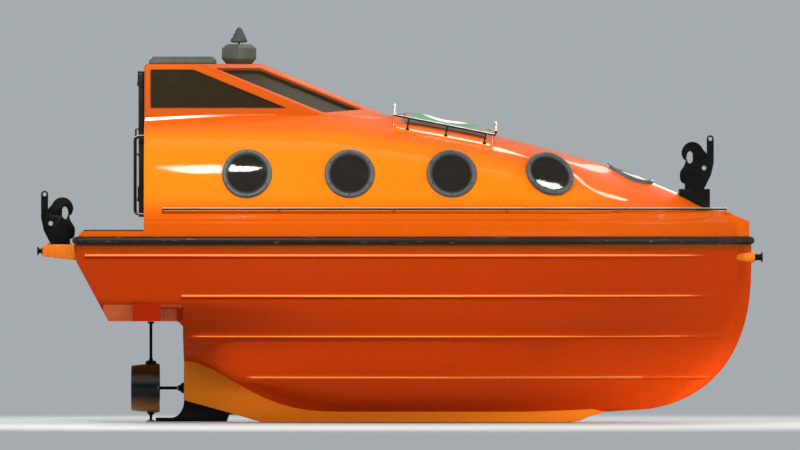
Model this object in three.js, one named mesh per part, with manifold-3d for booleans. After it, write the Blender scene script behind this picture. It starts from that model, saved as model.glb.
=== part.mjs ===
// Enclosed lifeboat, 5 m hull, with steering nozzle, lifting hooks and a raised steering house.
// Millimetres. +X points to the bow, +Y to port, +Z up. The origin is on the centreline at the waterline, amidships.
import * as THREE from "three";
import { mergeVertices } from "three/addons/utils/BufferGeometryUtils.js";
import Module from "manifold-3d";

const wasm = await Module();
wasm.setup();

// Driving dimensions of the hull
const TRANSOM_X = -2503;
const STEM_X = 2503;
const SHEER_Z = 705;
const KEEL_BOTTOM_Z = -651;
const BODY_BOTTOM_Z = -571;
const COUNTER_Z = 106;
const APERTURE_X = -1713;
const WALL = 80;
const FLOOR_Z = -230;
const GAP = 0.3;
const RAIL_OUT = 14;

// Driving dimensions of the upper works
const CABIN_AFT_X = -2001;
const ARCH_END_X = 2338;
const LEDGE_Z = 862;
const BAND_Z = 845;
const STERN_DECK_Z = 783;
const SHELL = 70;
const ROOF_Z = 2018;
const HOUSE_FOOT_Z = 1500;
const HOUSE_HALF = 545;
const HOUSE_FRONT_HALF = 300;
const HOUSE_SIDE_CORNER_X = -1600;
const HOUSE_FRONT_CORNER_X = -1120;
const SCREEN_RUN = 2.4;
const HOUSE_LEAN = 0.1;
const HOUSE_WALL = 50;

// Colours, roughness and metalness by finish
const FINISHES = {
  hullOrange: [0xcc4a12, 0.32, 0],
  canopyOrange: [0xf5821e, 0.3, 0],
  keelOrange: [0xd2691e, 0.4, 0],
  houseOrange: [0xec6a16, 0.35, 0],
  rubber: [0x34302f, 0.7, 0],
  ringGrey: [0x4c5a5a, 0.5, 0],
  darkGlass: [0x1c1812, 0.06, 0],
  blackSteel: [0x121212, 0.5, 0.4],
  stainless: [0xb9a99a, 0.25, 1],
  hatchGrey: [0x5a6461, 0.5, 0],
  lidWhite: [0x7f8a86, 0.45, 0],
  bronze: [0x9a6a2a, 0.3, 1],
  castIron: [0x3a3f44, 0.6, 0.6],
};

// Ready materials and the model they are worn by
const model = new THREE.Group();
const worn = {};
for (const [name, [color, roughness, metalness]] of Object.entries(FINISHES))
  worn[name] = { color, roughness, metalness };

function add(name, shape, finish) {
  const geometry = shape.isBufferGeometry ? shape : geometryOf(shape);
  const mesh = new THREE.Mesh(geometry, new THREE.MeshStandardMaterial(worn[finish]));
  mesh.name = name;
  model.add(mesh);
  return mesh;
}

// A closed geometry as a solid that can be joined and cut
function solid(geometry) {
  const loose = geometry.index ? geometry.toNonIndexed() : geometry;
  const bare = new THREE.BufferGeometry();
  bare.setAttribute("position", loose.getAttribute("position"));
  const merged = mergeVertices(bare, 1e-3);
  const corners = merged.index.array;
  const kept = [];
  for (let i = 0; i < corners.length; i += 3) {
    const [a, b, c] = [corners[i], corners[i + 1], corners[i + 2]];
    if (a !== b && b !== c && c !== a) kept.push(a, b, c);
  }
  const vertProperties = merged.attributes.position.array;
  const made = new wasm.Manifold(new wasm.Mesh({ numProp: 3, vertProperties, triVerts: new Uint32Array(kept) }));
  if (made.volume() >= 0) return made;
  const turned = new Uint32Array(kept);
  for (let i = 0; i < turned.length; i += 3) [turned[i + 1], turned[i + 2]] = [turned[i + 2], turned[i + 1]];
  return new wasm.Manifold(new wasm.Mesh({ numProp: 3, vertProperties, triVerts: turned }));
}

function geometryOf(made) {
  const mesh = made.getMesh();
  const geometry = new THREE.BufferGeometry();
  geometry.setAttribute("position", new THREE.BufferAttribute(mesh.vertProperties, 3));
  geometry.setIndex(new THREE.BufferAttribute(mesh.triVerts, 1));
  geometry.computeVertexNormals();
  return geometry;
}

// Triangles over a ring of points, seen along the axis that the ring faces most
function capOf(ring) {
  const normal = new THREE.Vector3();
  ring.forEach((p, i) => {
    const q = ring[(i + 1) % ring.length];
    normal.x += (p[1] - q[1]) * (p[2] + q[2]);
    normal.y += (p[2] - q[2]) * (p[0] + q[0]);
    normal.z += (p[0] - q[0]) * (p[1] + q[1]);
  });
  const size = [Math.abs(normal.x), Math.abs(normal.y), Math.abs(normal.z)];
  const drop = size.indexOf(Math.max(...size));
  const [u, v] = [0, 1, 2].filter((k) => k !== drop);
  const flat = ring.map((p) => new THREE.Vector2(p[u], p[v]));
  const clockwise = THREE.ShapeUtils.area(flat) < 0;
  const faces = THREE.ShapeUtils.triangulateShape(clockwise ? flat.slice().reverse() : flat, []);
  const last = ring.length - 1;
  return faces.map((f) => (clockwise ? f.map((i) => last - i).reverse() : f));
}

// A closed solid through rings of as many points each, capped at both ends
function loft(rings) {
  const count = rings[0].length;
  const index = [];
  for (let r = 0; r + 1 < rings.length; r++)
    for (let i = 0; i < count; i++) {
      const a = r * count + i;
      const b = r * count + ((i + 1) % count);
      index.push(a, b, b + count, a, b + count, a + count);
    }
  const end = (rings.length - 1) * count;
  const forwards = (f) => (f[1] - f[0] + count) % count < (f[2] - f[0] + count) % count;
  for (const f of capOf(rings[0])) index.push(...(forwards(f) ? [f[0], f[2], f[1]] : f));
  for (const f of capOf(rings[rings.length - 1])) {
    const face = forwards(f) ? f : [f[0], f[2], f[1]];
    index.push(...face.map((i) => i + end));
  }
  const geometry = new THREE.BufferGeometry();
  geometry.setAttribute("position", new THREE.Float32BufferAttribute(rings.flat(2), 3));
  geometry.setIndex(index);
  return solid(geometry);
}

const block = (x0, x1, y0, y1, z0, z1) =>
  solid(new THREE.BoxGeometry(x1 - x0, y1 - y0, z1 - z0).translate((x0 + x1) / 2, (y0 + y1) / 2, (z0 + z1) / 2));

// A prism between two copies of a flat outline, moved along a direction
function prism(outline, along, from, to) {
  const at = (d) => outline.map((p) => [p[0] + along[0] * d, p[1] + along[1] * d, p[2] + along[2] * d]);
  return loft([at(from), at(to)]);
}

// A side outline of [x, z] points, as thick as y0 to y1
const slab = (outline, y0, y1) => prism(outline.map(([x, z]) => [x, 0, z]), [0, 1, 0], y0, y1);

// A turned shape: [radius, height] profile, stood along a direction from a place
function turned(profile, place, direction, sides) {
  const geometry = new THREE.LatheGeometry(profile.map(([r, h]) => new THREE.Vector2(r, h)), sides);
  const turn = new THREE.Quaternion().setFromUnitVectors(
    new THREE.Vector3(0, 1, 0),
    new THREE.Vector3(...direction).normalize(),
  );
  geometry.applyQuaternion(turn).translate(...place);
  return solid(geometry);
}

const rod = (place, direction, radius, from, to, sides = 12) =>
  turned([[0, from], [radius, from], [radius, to], [0, to]], place, direction, sides);

// A round bar along a line of points, its corners eased
function bar(points, radius, steps, sides = 6, tension = 0.2) {
  const path = new THREE.CatmullRomCurve3(points.map((p) => new THREE.Vector3(...p)), false, "catmullrom", tension);
  const section = new THREE.Shape();
  for (let i = 0; i < sides; i++) {
    const turn = (i / sides) * 2 * Math.PI;
    const [u, v] = [radius * Math.cos(turn), radius * Math.sin(turn)];
    if (i === 0) section.moveTo(u, v);
    else section.lineTo(u, v);
  }
  return solid(new THREE.ExtrudeGeometry(section, { steps, extrudePath: path, bevelEnabled: false }));
}

// A smooth value between rows of [place, value], level at its peaks
function through(rows) {
  const slope = rows.map((_, i) => {
    if (i === 0 || i === rows.length - 1) {
      const [a, b] = i === 0 ? [rows[0], rows[1]] : [rows[i - 1], rows[i]];
      return (b[1] - a[1]) / (b[0] - a[0]);
    }
    const before = (rows[i][1] - rows[i - 1][1]) / (rows[i][0] - rows[i - 1][0]);
    const after = (rows[i + 1][1] - rows[i][1]) / (rows[i + 1][0] - rows[i][0]);
    return before * after <= 0 ? 0 : (2 * before * after) / (before + after);
  });
  return (x) => {
    let i = 0;
    while (i < rows.length - 2 && x > rows[i + 1][0]) i++;
    const span = rows[i + 1][0] - rows[i][0];
    const t = Math.min(1, Math.max(0, (x - rows[i][0]) / span));
    const [a, b] = [rows[i][1], rows[i + 1][1]];
    const [m, n] = [slope[i] * span, slope[i + 1] * span];
    return a + t * m + t * t * (3 * (b - a) - 2 * m - n) + t * t * t * (2 * (a - b) + m + n);
  };
}

const smoothstep = (t) => {
  const u = Math.min(1, Math.max(0, t));
  return u * u * (3 - 2 * u);
};

// The stem rises in one curve from the forefoot to the sheer
const FOREFOOT_X = 1443;
const STEM_STRAIGHT_Z = 560;
const STEM_POWER = 2.5;
function stemAt(z) {
  const down = Math.max(0, STEM_STRAIGHT_Z - z) / (STEM_STRAIGHT_Z - BODY_BOTTOM_Z);
  const share = Math.max(0, 1 - Math.min(1, down) ** STEM_POWER);
  return FOREFOOT_X + (STEM_X - FOREFOOT_X) * share ** (1 / STEM_POWER);
}

// The bottom of the body rises aft, over the tall skeg, towards the propeller
const RUN_START_X = -475;
const RUN_RISE = 377;
function bottomAt(x) {
  const share = Math.max(0, RUN_START_X - x) / (RUN_START_X - APERTURE_X);
  return BODY_BOTTOM_Z + RUN_RISE * smoothstep(share ** 1.6);
}

// Half-breadth of the hull by level, at these shares of the way from transom to stem
const SHARES = [0, 0.08, 0.16, 0.35, 0.55, 0.72, 0.84, 0.91, 0.96, 0.982, 1];
const BREADTHS = [
  { z: BODY_BOTTOM_Z, half: [60, 60, 60, 60, 60, 60, 55, 45, 32, 26, 22] },
  { z: -315, half: [240, 330, 430, 690, 720, 560, 300, 150, 58, 28, 22] },
  { z: -10, half: [520, 580, 660, 925, 965, 820, 500, 265, 92, 30, 22] },
  { z: COUNTER_Z, half: [690, 745, 800, 990, 1015, 880, 565, 305, 108, 31, 22] },
  { z: 248, half: [820, 880, 935, 1040, 1055, 925, 620, 345, 125, 33, 22] },
  { z: 591, half: [885, 950, 1008, 1097, 1114, 1018, 730, 445, 175, 38, 22] },
  { z: SHEER_Z, half: [900, 968, 1025, 1108, 1125, 1035, 755, 475, 195, 42, 22] },
];
for (const row of BREADTHS) row.at = through(SHARES.map((share, i) => [share, row.half[i]]));

function halfAtShare(share, z) {
  let i = 0;
  while (i < BREADTHS.length - 2 && z > BREADTHS[i + 1].z) i++;
  const [low, high] = [BREADTHS[i], BREADTHS[i + 1]];
  const t = Math.min(1, Math.max(0, (z - low.z) / (high.z - low.z)));
  return low.at(share) * (1 - t) + high.at(share) * t;
}
const halfBreadth = (x, z) => halfAtShare((x - TRANSOM_X) / (stemAt(z) - TRANSOM_X), z);

// Spray rails: height, and where each starts aft
const RAILS = [
  { z: -315, from: -1240 },
  { z: -10, from: -1650 },
  { z: 291, from: -1720 },
  { z: 591, from: -2440 },
];
const RAIL_FADE_X = 1900;
const RAIL_END_X = 2380;
const RAIL_ROWS = [[-12, 0], [-8, 1], [2, 1], [16, 0]];

// Aft of the lowest rail the rising bottom carries the low levels up with it
const TUCK_START_X = -1250;
const TUCK_RISE = 231;
const tuckAt = (x) => TUCK_RISE * smoothstep((TUCK_START_X - x) / (TUCK_START_X - APERTURE_X));
const LOW_LEVELS = [-540, -470, -390];
const BILGE_Z = -160;
const BILGE_TUCK = 0.42;
const SIDE_LEVEL_Z = 440;
const KNUCKLE_Z = 248;

// One point of the hull's skin at a share of its length and a height
function skin(share, z, out = 0) {
  const x = TRANSOM_X + share * (stemAt(z) - TRANSOM_X);
  return [x, halfAtShare(share, z) + out, z];
}

function railPoints(share, rail) {
  const x = TRANSOM_X + share * (stemAt(rail.z) - TRANSOM_X);
  const fade = 1 - smoothstep((x - RAIL_FADE_X) / (RAIL_END_X - RAIL_FADE_X));
  const out = x < rail.from ? 0 : RAIL_OUT * fade;
  return RAIL_ROWS.map(([up, part]) => skin(share, rail.z + up, out * part));
}

const RING_SHARES = [
  0, 0.04, 0.1, 0.158, 0.165, 0.23, 0.26, 0.32, 0.4, 0.5, 0.6, 0.68, 0.76, 0.83, 0.89, 0.93, 0.96, 0.967, 0.982, 1,
];

// Lifts what lies under the run of the body so that the section closes on the rising bottom
function hullHalf(share) {
  const foot = skin(share, BODY_BOTTOM_Z);
  const bottom = bottomAt(foot[0]);
  const half = [[foot[0], foot[1], bottom]];
  const lift = tuckAt(skin(share, RAILS[0].z)[0]);
  const low = [...LOW_LEVELS.map((z) => skin(share, z)), ...railPoints(share, RAILS[0])];
  const squeeze = (RAILS[0].z + lift - bottom) / (RAILS[0].z - BODY_BOTTOM_Z);
  for (const [x, y, z] of low) half.push([x, y, bottom + (z - BODY_BOTTOM_Z) * squeeze]);
  half.push(skin(share, BILGE_Z + lift * BILGE_TUCK), ...railPoints(share, RAILS[1]));
  half.push(skin(share, COUNTER_Z), skin(share, KNUCKLE_Z));
  half.push(...railPoints(share, RAILS[2]), skin(share, SIDE_LEVEL_Z), ...railPoints(share, RAILS[3]));
  half.push(skin(share, SHEER_Z));
  return half;
}

const bothSides = (half) => [...half, ...half.slice().reverse().map(([x, y, z]) => [x, -y, z])];

// A cutter reaches this far past what it cuts, and past half of the boat's breadth
const PAST = 100;
const PAST_SIDE = 1300;
const TRANSOM_FOOT_X = -2265;
const TRANSOM_KNEE_Z = 551;
const KNEE_RUN = 40;
const KNEE_DROP = 34;
const hullSide = [
  [TRANSOM_X - PAST, SHEER_Z + PAST],
  [TRANSOM_X, SHEER_Z],
  [TRANSOM_X, TRANSOM_KNEE_Z],
  [TRANSOM_FOOT_X, COUNTER_Z],
  [APERTURE_X - KNEE_RUN, COUNTER_Z],
  [APERTURE_X, COUNTER_Z - KNEE_DROP],
  [APERTURE_X, KEEL_BOTTOM_Z - PAST],
  [STEM_X + PAST, KEEL_BOTTOM_Z - PAST],
  [STEM_X + PAST, SHEER_Z + PAST],
];
const hullBody = loft(RING_SHARES.map((share) => bothSides(hullHalf(share))));
const hullOuter = hullBody.intersect(slab(hullSide, -PAST_SIDE, PAST_SIDE));

// Inside of the hull, from its floor to the sheer
const FLOOR_OVER_BOTTOM = 300;
const ROOM_LEAST_HALF = 25;
const ROOM_LEAN = 0.2;
const ROOM_HEIGHTS = [FLOOR_Z, RAILS[1].z, COUNTER_Z, RAILS[2].z, RAILS[3].z, SHEER_Z + PAST];
const HULL_ROOM_X = [-1540, -1300, -1000, -600, 0, 600, 1000, 1350, 1650, 1850, 1980];
const hullRoom = loft(
  HULL_ROOM_X.map((x) => {
    const floor = Math.max(FLOOR_Z, bottomAt(x) + FLOOR_OVER_BOTTOM);
    const narrow = floor - FLOOR_Z;
    return bothSides(
      ROOM_HEIGHTS.map((z) => {
        const half = halfBreadth(x, Math.min(z, SHEER_Z)) - WALL - (z < 0 ? narrow : 0);
        return [x, Math.max(ROOM_LEAST_HALF, half), Math.max(z, floor + (z - FLOOR_Z) * ROOM_LEAN)];
      }),
    );
  }),
);

// The crown of the upper works, its ledge and the foot of its sides, by x
const crownAt = through([
  [CABIN_AFT_X, 1690], [-1300, 1706], [-700, 1702], [-300, 1654], [-160, 1638], [620, 1485], [1105, 1360], [1425, 1269],
  [1782, 1136], [2000, 1043], [2177, 957], [ARCH_END_X, 918],
]);
const CAP_Z = 912;
const ledgeAt = through([[CABIN_AFT_X, LEDGE_Z], [1850, LEDGE_Z], [2080, 868], [ARCH_END_X, CAP_Z]]);
const footAt = through([
  [CABIN_AFT_X, 930], [-1500, 985], [-751, 1045], [0, 1064], [700, 1030],
  [1101, 955], [1500, 795], [1800, 600], [2050, 370], [2200, 205], [ARCH_END_X, 12],
]);

// Sections of the upper works as shares of foot breadth and of height: full aft, a ridge forward
const SECTION_FULL = [
  [1, 0], [0.975, 0.12], [0.885, 0.5], [0.81, 0.7], [0.73, 0.82], [0.6, 0.905], [0.4, 0.96], [0.2, 0.99], [0, 1],
];
const SECTION_RIDGE = [
  [1, 0], [0.92, 0.14], [0.8, 0.31], [0.67, 0.47], [0.54, 0.61], [0.41, 0.73], [0.27, 0.845], [0.13, 0.945], [0, 1],
];
const RIDGE_START_X = 950;
const RIDGE_LENGTH = 750;
const LEAST_FOOT = 10;
const LEAST_RISE = 3;

function archHalf(x, inset = 0, footZ = null) {
  const mix = smoothstep((x - RIDGE_START_X) / RIDGE_LENGTH);
  const foot = Math.max(LEAST_FOOT, footAt(x) - inset);
  const low = ledgeAt(x);
  const rise = Math.max(LEAST_RISE, crownAt(x) - inset - low);
  const half = SECTION_FULL.map(([y, h], i) => [
    x,
    foot * (y * (1 - mix) + SECTION_RIDGE[i][0] * mix),
    low + rise * (h * (1 - mix) + SECTION_RIDGE[i][1] * mix),
  ]);
  half[half.length - 1][1] = LEAST_RISE;
  if (footZ !== null) half.unshift([x, half[0][1], footZ]);
  return half;
}

// Breadth and lean of the cabin side at a height, and the height of the deck at a breadth
function sideAt(x, z) {
  const half = archHalf(x);
  for (let i = 0; i + 1 < half.length; i++) {
    const [a, b] = [half[i], half[i + 1]];
    if (z <= b[2]) {
      const t = Math.max(0, (z - a[2]) / (b[2] - a[2]));
      return { y: a[1] + (b[1] - a[1]) * t, lean: Math.atan2(a[1] - b[1], b[2] - a[2]) };
    }
  }
  return { y: 0, lean: Math.PI / 2 };
}
function deckAt(x, y) {
  const half = archHalf(x);
  for (let i = half.length - 1; i > 0; i--) {
    const [a, b] = [half[i], half[i - 1]];
    if (Math.abs(y) <= b[1]) {
      const t = Math.max(0, (Math.abs(y) - a[1]) / (b[1] - a[1]));
      return a[2] + (b[2] - a[2]) * t;
    }
  }
  return ledgeAt(x);
}

const ARCH_X = [
  CABIN_AFT_X, -1600, -1100, -700, -430, -160, 100, 360, 620, 860, 1105, 1270, 1425, 1600, 1782, 1900, 2000, 2090, 2177,
  2260, ARCH_END_X,
];
const ARCH_SUNK = 60;
const archOuter = loft(ARCH_X.map((x) => bothSides(archHalf(x, 0, BAND_Z - ARCH_SUNK))));

// The band over the fender, with the stern deck behind it and the cap of the bow in front
const BAND_DROP = 17;
const BAND_DROP_X = 2170;
const BAND_DROP_RUN = 330;
const BAND_TOP_LEAST = 12;
const CAP_FALL = 80;
const STERN_EDGE_Z = 725;
const STERN_SLOPE = 55;
function bandHalf(share) {
  const [x, y] = skin(share, SHEER_Z);
  const edge = BAND_Z - BAND_DROP * smoothstep((x - BAND_DROP_X) / BAND_DROP_RUN);
  const beside = Math.max(x, CABIN_AFT_X);
  const inner = x < ARCH_END_X ? Math.min(y - BAND_TOP_LEAST, footAt(beside)) : LEAST_FOOT;
  const top = x < ARCH_END_X ? ledgeAt(beside) : CAP_Z - ((x - ARCH_END_X) / (STEM_X - ARCH_END_X)) * CAP_FALL;
  return [[x, y, SHEER_Z + GAP], [x, y, edge], [x, inner, top]];
}
const bandSide = [
  [TRANSOM_X, SHEER_Z - PAST],
  [TRANSOM_X, STERN_EDGE_Z],
  [TRANSOM_X + STERN_SLOPE, STERN_DECK_Z],
  [CABIN_AFT_X, STERN_DECK_Z],
  [CABIN_AFT_X, CAP_Z + PAST],
  [STEM_X + PAST, CAP_Z + PAST],
  [STEM_X + PAST, SHEER_Z - PAST],
];
const bandBody = loft(RING_SHARES.map((share) => bothSides(bandHalf(share))));
const band = bandBody.intersect(slab(bandSide, -PAST_SIDE, PAST_SIDE));

// Inside of the upper works
const ROOM_X = [CABIN_AFT_X + SHELL, -1500, -900, -500, -160, 300, 620, 900, 1105, 1425, 1700, 1850];
const ROOM_SUNK = 60;
const archRoom = loft(ROOM_X.map((x) => bothSides(archHalf(x, SHELL, SHEER_Z - ROOM_SUNK))));

// The steering house: its plan at a height, drawn in by a wall thickness. The shares are the wall's thickness
// at each corner, which is more where the swept-back front cuts the wall aslant
const SIDE_CORNER_WALLS = 2;
const FRONT_CORNER_WALLS = 2.6;
const FRONT_HALF_WALLS = 0.5;
const HOUSE_ROOM_SUNK = 30;
function housePlan(z, wall = 0) {
  const down = ROOF_Z - z;
  const side = HOUSE_HALF + down * HOUSE_LEAN - wall;
  const front = HOUSE_FRONT_HALF + down * HOUSE_LEAN - wall * FRONT_HALF_WALLS;
  const run = SCREEN_RUN * down;
  const half = [
    [CABIN_AFT_X + wall, side, z],
    [HOUSE_SIDE_CORNER_X + run - wall * SIDE_CORNER_WALLS, side, z],
    [HOUSE_FRONT_CORNER_X + run - wall * FRONT_CORNER_WALLS, front, z],
  ];
  return bothSides(half);
}
const houseOuter = loft([housePlan(HOUSE_FOOT_Z), housePlan(ROOF_Z)]);
const houseInner = loft([
  housePlan(HOUSE_FOOT_Z - HOUSE_ROOM_SUNK, HOUSE_WALL), housePlan(ROOF_Z - HOUSE_WALL, HOUSE_WALL),
]);

// Window openings of the steering house, as [x, z] corners
const SIDE_WINDOW = [[-1957, 1687], [-939, 1687], [-1635, 1975], [-1957, 1975]];
const CORNER_WINDOW = [[-1481, 1988], [-1139, 1988], [-380, 1680], [-666, 1655]];
const SCREEN_TOP_Z = 1985;
const SCREEN_FOOT_Z = 1690;
const SCREEN_EDGE = 60;
const SIDE_RECESS = 14;
const CORNER_RECESS = 26;
const SCREEN_RECESS = 20;

// Where the corner facet lies at [x, z]: breadth falls from the side corner to the front corner
const CORNER_FALL = (HOUSE_HALF - HOUSE_FRONT_HALF) / (HOUSE_FRONT_CORNER_X - HOUSE_SIDE_CORNER_X);
function cornerY(x, z) {
  const down = ROOF_Z - z;
  return HOUSE_HALF + down * HOUSE_LEAN - (x - HOUSE_SIDE_CORNER_X - SCREEN_RUN * down) * CORNER_FALL;
}
const cornerNormal = new THREE.Vector3(CORNER_FALL, 1, HOUSE_LEAN + SCREEN_RUN * CORNER_FALL).normalize().toArray();
const screenX = (z) => HOUSE_FRONT_CORNER_X + SCREEN_RUN * (ROOF_Z - z);
const screenNormal = new THREE.Vector3(1, 0, SCREEN_RUN).normalize().toArray();

// Draws an outline in towards its middle
function shrunk(outline, by) {
  const middle = outline[0].map((_, k) => outline.reduce((sum, p) => sum + p[k], 0) / outline.length);
  return outline.map((p) => {
    const reach = Math.hypot(...p.map((v, k) => v - middle[k]));
    return p.map((v, k) => v + ((middle[k] - v) * by) / reach);
  });
}

const GLASS = 10;
const panes = [];
for (const [sideName, sign] of [["stbd", -1], ["port", 1]]) {
  const face = SIDE_WINDOW.map(([x, z]) => [x, sign * (HOUSE_HALF + (ROOF_Z - z) * HOUSE_LEAN), z]);
  panes.push({ name: `side_window_${sideName}`, face, normal: [0, sign, 0], recess: SIDE_RECESS });
  const corner = CORNER_WINDOW.map(([x, z]) => [x, sign * cornerY(x, z), z]);
  const normal = [cornerNormal[0], sign * cornerNormal[1], cornerNormal[2]];
  panes.push({ name: `corner_window_${sideName}`, face: corner, normal, recess: CORNER_RECESS });
}
const screenHalf = (z) => HOUSE_FRONT_HALF + (ROOF_Z - z) * HOUSE_LEAN - SCREEN_EDGE;
const screenFace = [[1, SCREEN_TOP_Z], [-1, SCREEN_TOP_Z], [-1, SCREEN_FOOT_Z], [1, SCREEN_FOOT_Z]];
panes.push({
  name: "windscreen",
  face: screenFace.map(([s, z]) => [screenX(z), s * screenHalf(z), z]),
  normal: screenNormal,
  recess: SCREEN_RECESS,
});

// The aft doorway, in both the cabin and the steering house
const DOOR_HALF = 250;
const DOOR_FOOT_Z = 880;
const DOOR_TOP_Z = 1965;
const DOORWAY_HALF = 215;
const DOORWAY_FOOT_Z = 915;
const DOORWAY_TOP_Z = 1930;
const doorway = block(
  CABIN_AFT_X - PAST, CABIN_AFT_X + PAST, -DOORWAY_HALF, DOORWAY_HALF, DOORWAY_FOOT_Z, DOORWAY_TOP_Z,
);

// Round side windows: place along the boat; all at one height but for the foremost
const PORT_Z = 1199;
const PORT_OUTER = 186;
const PORT_INNER = 148;
const PORT_PROUD = 22;
const PORT_SEAT = 8;
const PORT_SIDES = 20;
const PORT_EDGE = 9;
const PORT_CUT = 150;
const NEAR = 60;
const PORTS_X = [-1235, -475, 280, 1008];
const portholes = [];
PORTS_X.forEach((x, i) => {
  for (const [sideName, sign] of [["stbd", -1], ["port", 1]]) {
    const { y, lean } = sideAt(x, PORT_Z);
    const ahead = (sideAt(x + NEAR, PORT_Z).y - sideAt(x - NEAR, PORT_Z).y) / (2 * NEAR);
    const normal = new THREE.Vector3(-ahead * Math.cos(lean), sign * Math.cos(lean), Math.sin(lean));
    portholes.push({ name: `${sideName}_${i + 1}`, place: [x, sign * y, PORT_Z], normal: normal.normalize().toArray() });
  }
});

// The round window of the foredeck lies over the ridge and is bent to it
const BOW_PORT_X = 1611;
const BOW_PORT_SIDES = 20;
const BOW_TILT = Math.asin(0.34);
function bowPoint(i, radius, up) {
  const turn = (i / BOW_PORT_SIDES) * 2 * Math.PI;
  const [x, y] = [BOW_PORT_X + radius * Math.cos(BOW_TILT) * Math.cos(turn), radius * Math.sin(turn)];
  return [x + up * Math.sin(BOW_TILT), y, deckAt(x, y) + up * Math.cos(BOW_TILT)];
}
function bowRing(inner, outer, low, high) {
  const rings = [];
  for (let i = 0; i < BOW_PORT_SIDES; i++)
    rings.push([bowPoint(i, inner, low), bowPoint(i, outer, low), bowPoint(i, outer, high), bowPoint(i, inner, high)]);
  const index = [];
  const n = rings.length;
  for (let r = 0; r < n; r++)
    for (let i = 0; i < 4; i++) {
      const [a, b] = [r * 4 + i, r * 4 + ((i + 1) % 4)];
      const [c, d] = [((r + 1) % n) * 4 + i, ((r + 1) % n) * 4 + ((i + 1) % 4)];
      index.push(a, b, d, a, d, c);
    }
  const geometry = new THREE.BufferGeometry();
  geometry.setAttribute("position", new THREE.Float32BufferAttribute(rings.flat(2), 3));
  geometry.setIndex(index);
  return solid(geometry);
}
function bowDisc(radius, low, high) {
  const rim = (up) => Array.from({ length: BOW_PORT_SIDES }, (_, i) => bowPoint(i, radius, up));
  return loft([rim(low), rim(high)]);
}

// Hatches
const ROOF_HATCH = { x0: -1969, x1: -1472, half: 300, z0: ROOF_Z + 5, shoulderZ: ROOF_Z + 33, z1: ROOF_Z + 56, drawnIn: 20, wayHalf: 230 };
const DECK_HATCH = { x0: -66, x1: 548, half: 600, low: 20, high: 44, edge: 18, wayX0: 10, wayX1: 470, wayHalf: 300 };
const PLINTH = { x0: -150, x1: 588, half: 745, high: 14, sunk: 30 };
const ROOF_WAY_EDGE = 60;
const DECK_WAY_Z = [1300, 1800];

const roofWay = block(
  ROOF_HATCH.x0 + ROOF_WAY_EDGE, ROOF_HATCH.x1 - ROOF_WAY_EDGE, -ROOF_HATCH.wayHalf, ROOF_HATCH.wayHalf,
  ROOF_Z - PAST, ROOF_Z + PAST,
);
const deckWay = block(
  DECK_HATCH.wayX0, DECK_HATCH.wayX1, -DECK_HATCH.wayHalf, DECK_HATCH.wayHalf, DECK_WAY_Z[0], DECK_WAY_Z[1],
);

// Hull, keel and heel
add("hull", hullOuter.subtract(hullRoom), "hullOrange");

const KEEL_HALF = 55;
const keelSide = [
  [APERTURE_X, -150], [APERTURE_X, -486], [-1369, -581], [-1131, -650], [1157, KEEL_BOTTOM_Z], [1239, -638],
  [1318, -603], [1420, -575], [1300, -540], [-400, -540], [-1100, -380], [-1369, -250],
];
add("keel_fin", slab(keelSide, -KEEL_HALF, KEEL_HALF).subtract(hullOuter.translate([0, 0, -GAP])), "keelOrange");

const NOZZLE_X = -1959;
const SHOE_Z = -646;
const SHOE_HALF = 32;
const SHOE_END_X = NOZZLE_X - 36;
const PAD_X = NOZZLE_X + 36;
const PAD_Z = SHOE_Z + 7;
const SHOE_ARM_Z = -616;
const SHOE_CURVE = { x: -1808, across: 96, up: 129, steps: 6 };
const shoeArc = Array.from({ length: SHOE_CURVE.steps + 1 }, (_, i) => {
  const turn = (i / SHOE_CURVE.steps) * (Math.PI / 2);
  return [SHOE_CURVE.x + SHOE_CURVE.across * Math.sin(turn), SHOE_ARM_Z + SHOE_CURVE.up * (1 - Math.cos(turn))];
});
const shoeSide = [
  [SHOE_END_X, SHOE_Z], [-1394, SHOE_Z], [-1374, -593], [-1324, -600], [-1369, -581 - GAP], [APERTURE_X, -486 - GAP],
  ...shoeArc.slice().reverse(), [PAD_X, SHOE_ARM_Z], [PAD_X, PAD_Z], [SHOE_END_X, PAD_Z],
];
const shoeCut = slab(keelSide, -PAST, PAST).translate([0, 0, -GAP]);
add("heel_shoe", slab(shoeSide, -SHOE_HALF, SHOE_HALF).subtract(shoeCut), "blackSteel");

// Upper works
let canopy = band.add(archOuter).subtract(archRoom).subtract(houseInner).subtract(doorway).subtract(deckWay);
for (const p of portholes) {
  canopy = canopy.subtract(rod(p.place, p.normal, PORT_OUTER + GAP, -PORT_SEAT, PORT_CUT, PORT_SIDES));
  canopy = canopy.subtract(rod(p.place, p.normal, PORT_INNER, -PORT_CUT, PORT_CUT, PORT_SIDES));
}
const PANE_CUT = 160;
for (const pane of panes) canopy = canopy.subtract(prism(pane.face, pane.normal, -PANE_CUT, 0));
canopy = canopy.subtract(bowDisc(PORT_INNER + GAP, -PORT_CUT, PORT_CUT));
const bandRoom = loft(
  [CABIN_AFT_X + SHELL, -900, 300, 1100, 1500, 1850].map((x) => {
    const y = footAt(x) - SHELL;
    return bothSides([[x, y, SHEER_Z - ROOM_SUNK], [x, y, LEDGE_Z + ROOM_SUNK / 2]]);
  }),
);
canopy = canopy.subtract(bandRoom);
add("canopy", canopy, "canopyOrange");

const liftedArch = archOuter.translate([0, 0, GAP]);
let house = houseOuter.subtract(houseInner).subtract(liftedArch).subtract(doorway).subtract(roofWay);
for (const pane of panes) house = house.subtract(prism(pane.face, pane.normal, -PANE_CUT, PAST));
add("wheelhouse", house, "houseOrange");
for (const pane of panes) {
  const glass = prism(shrunk(pane.face, GAP * 4), pane.normal, -pane.recess - GLASS, -pane.recess);
  add(pane.name, glass, "darkGlass");
}

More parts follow.
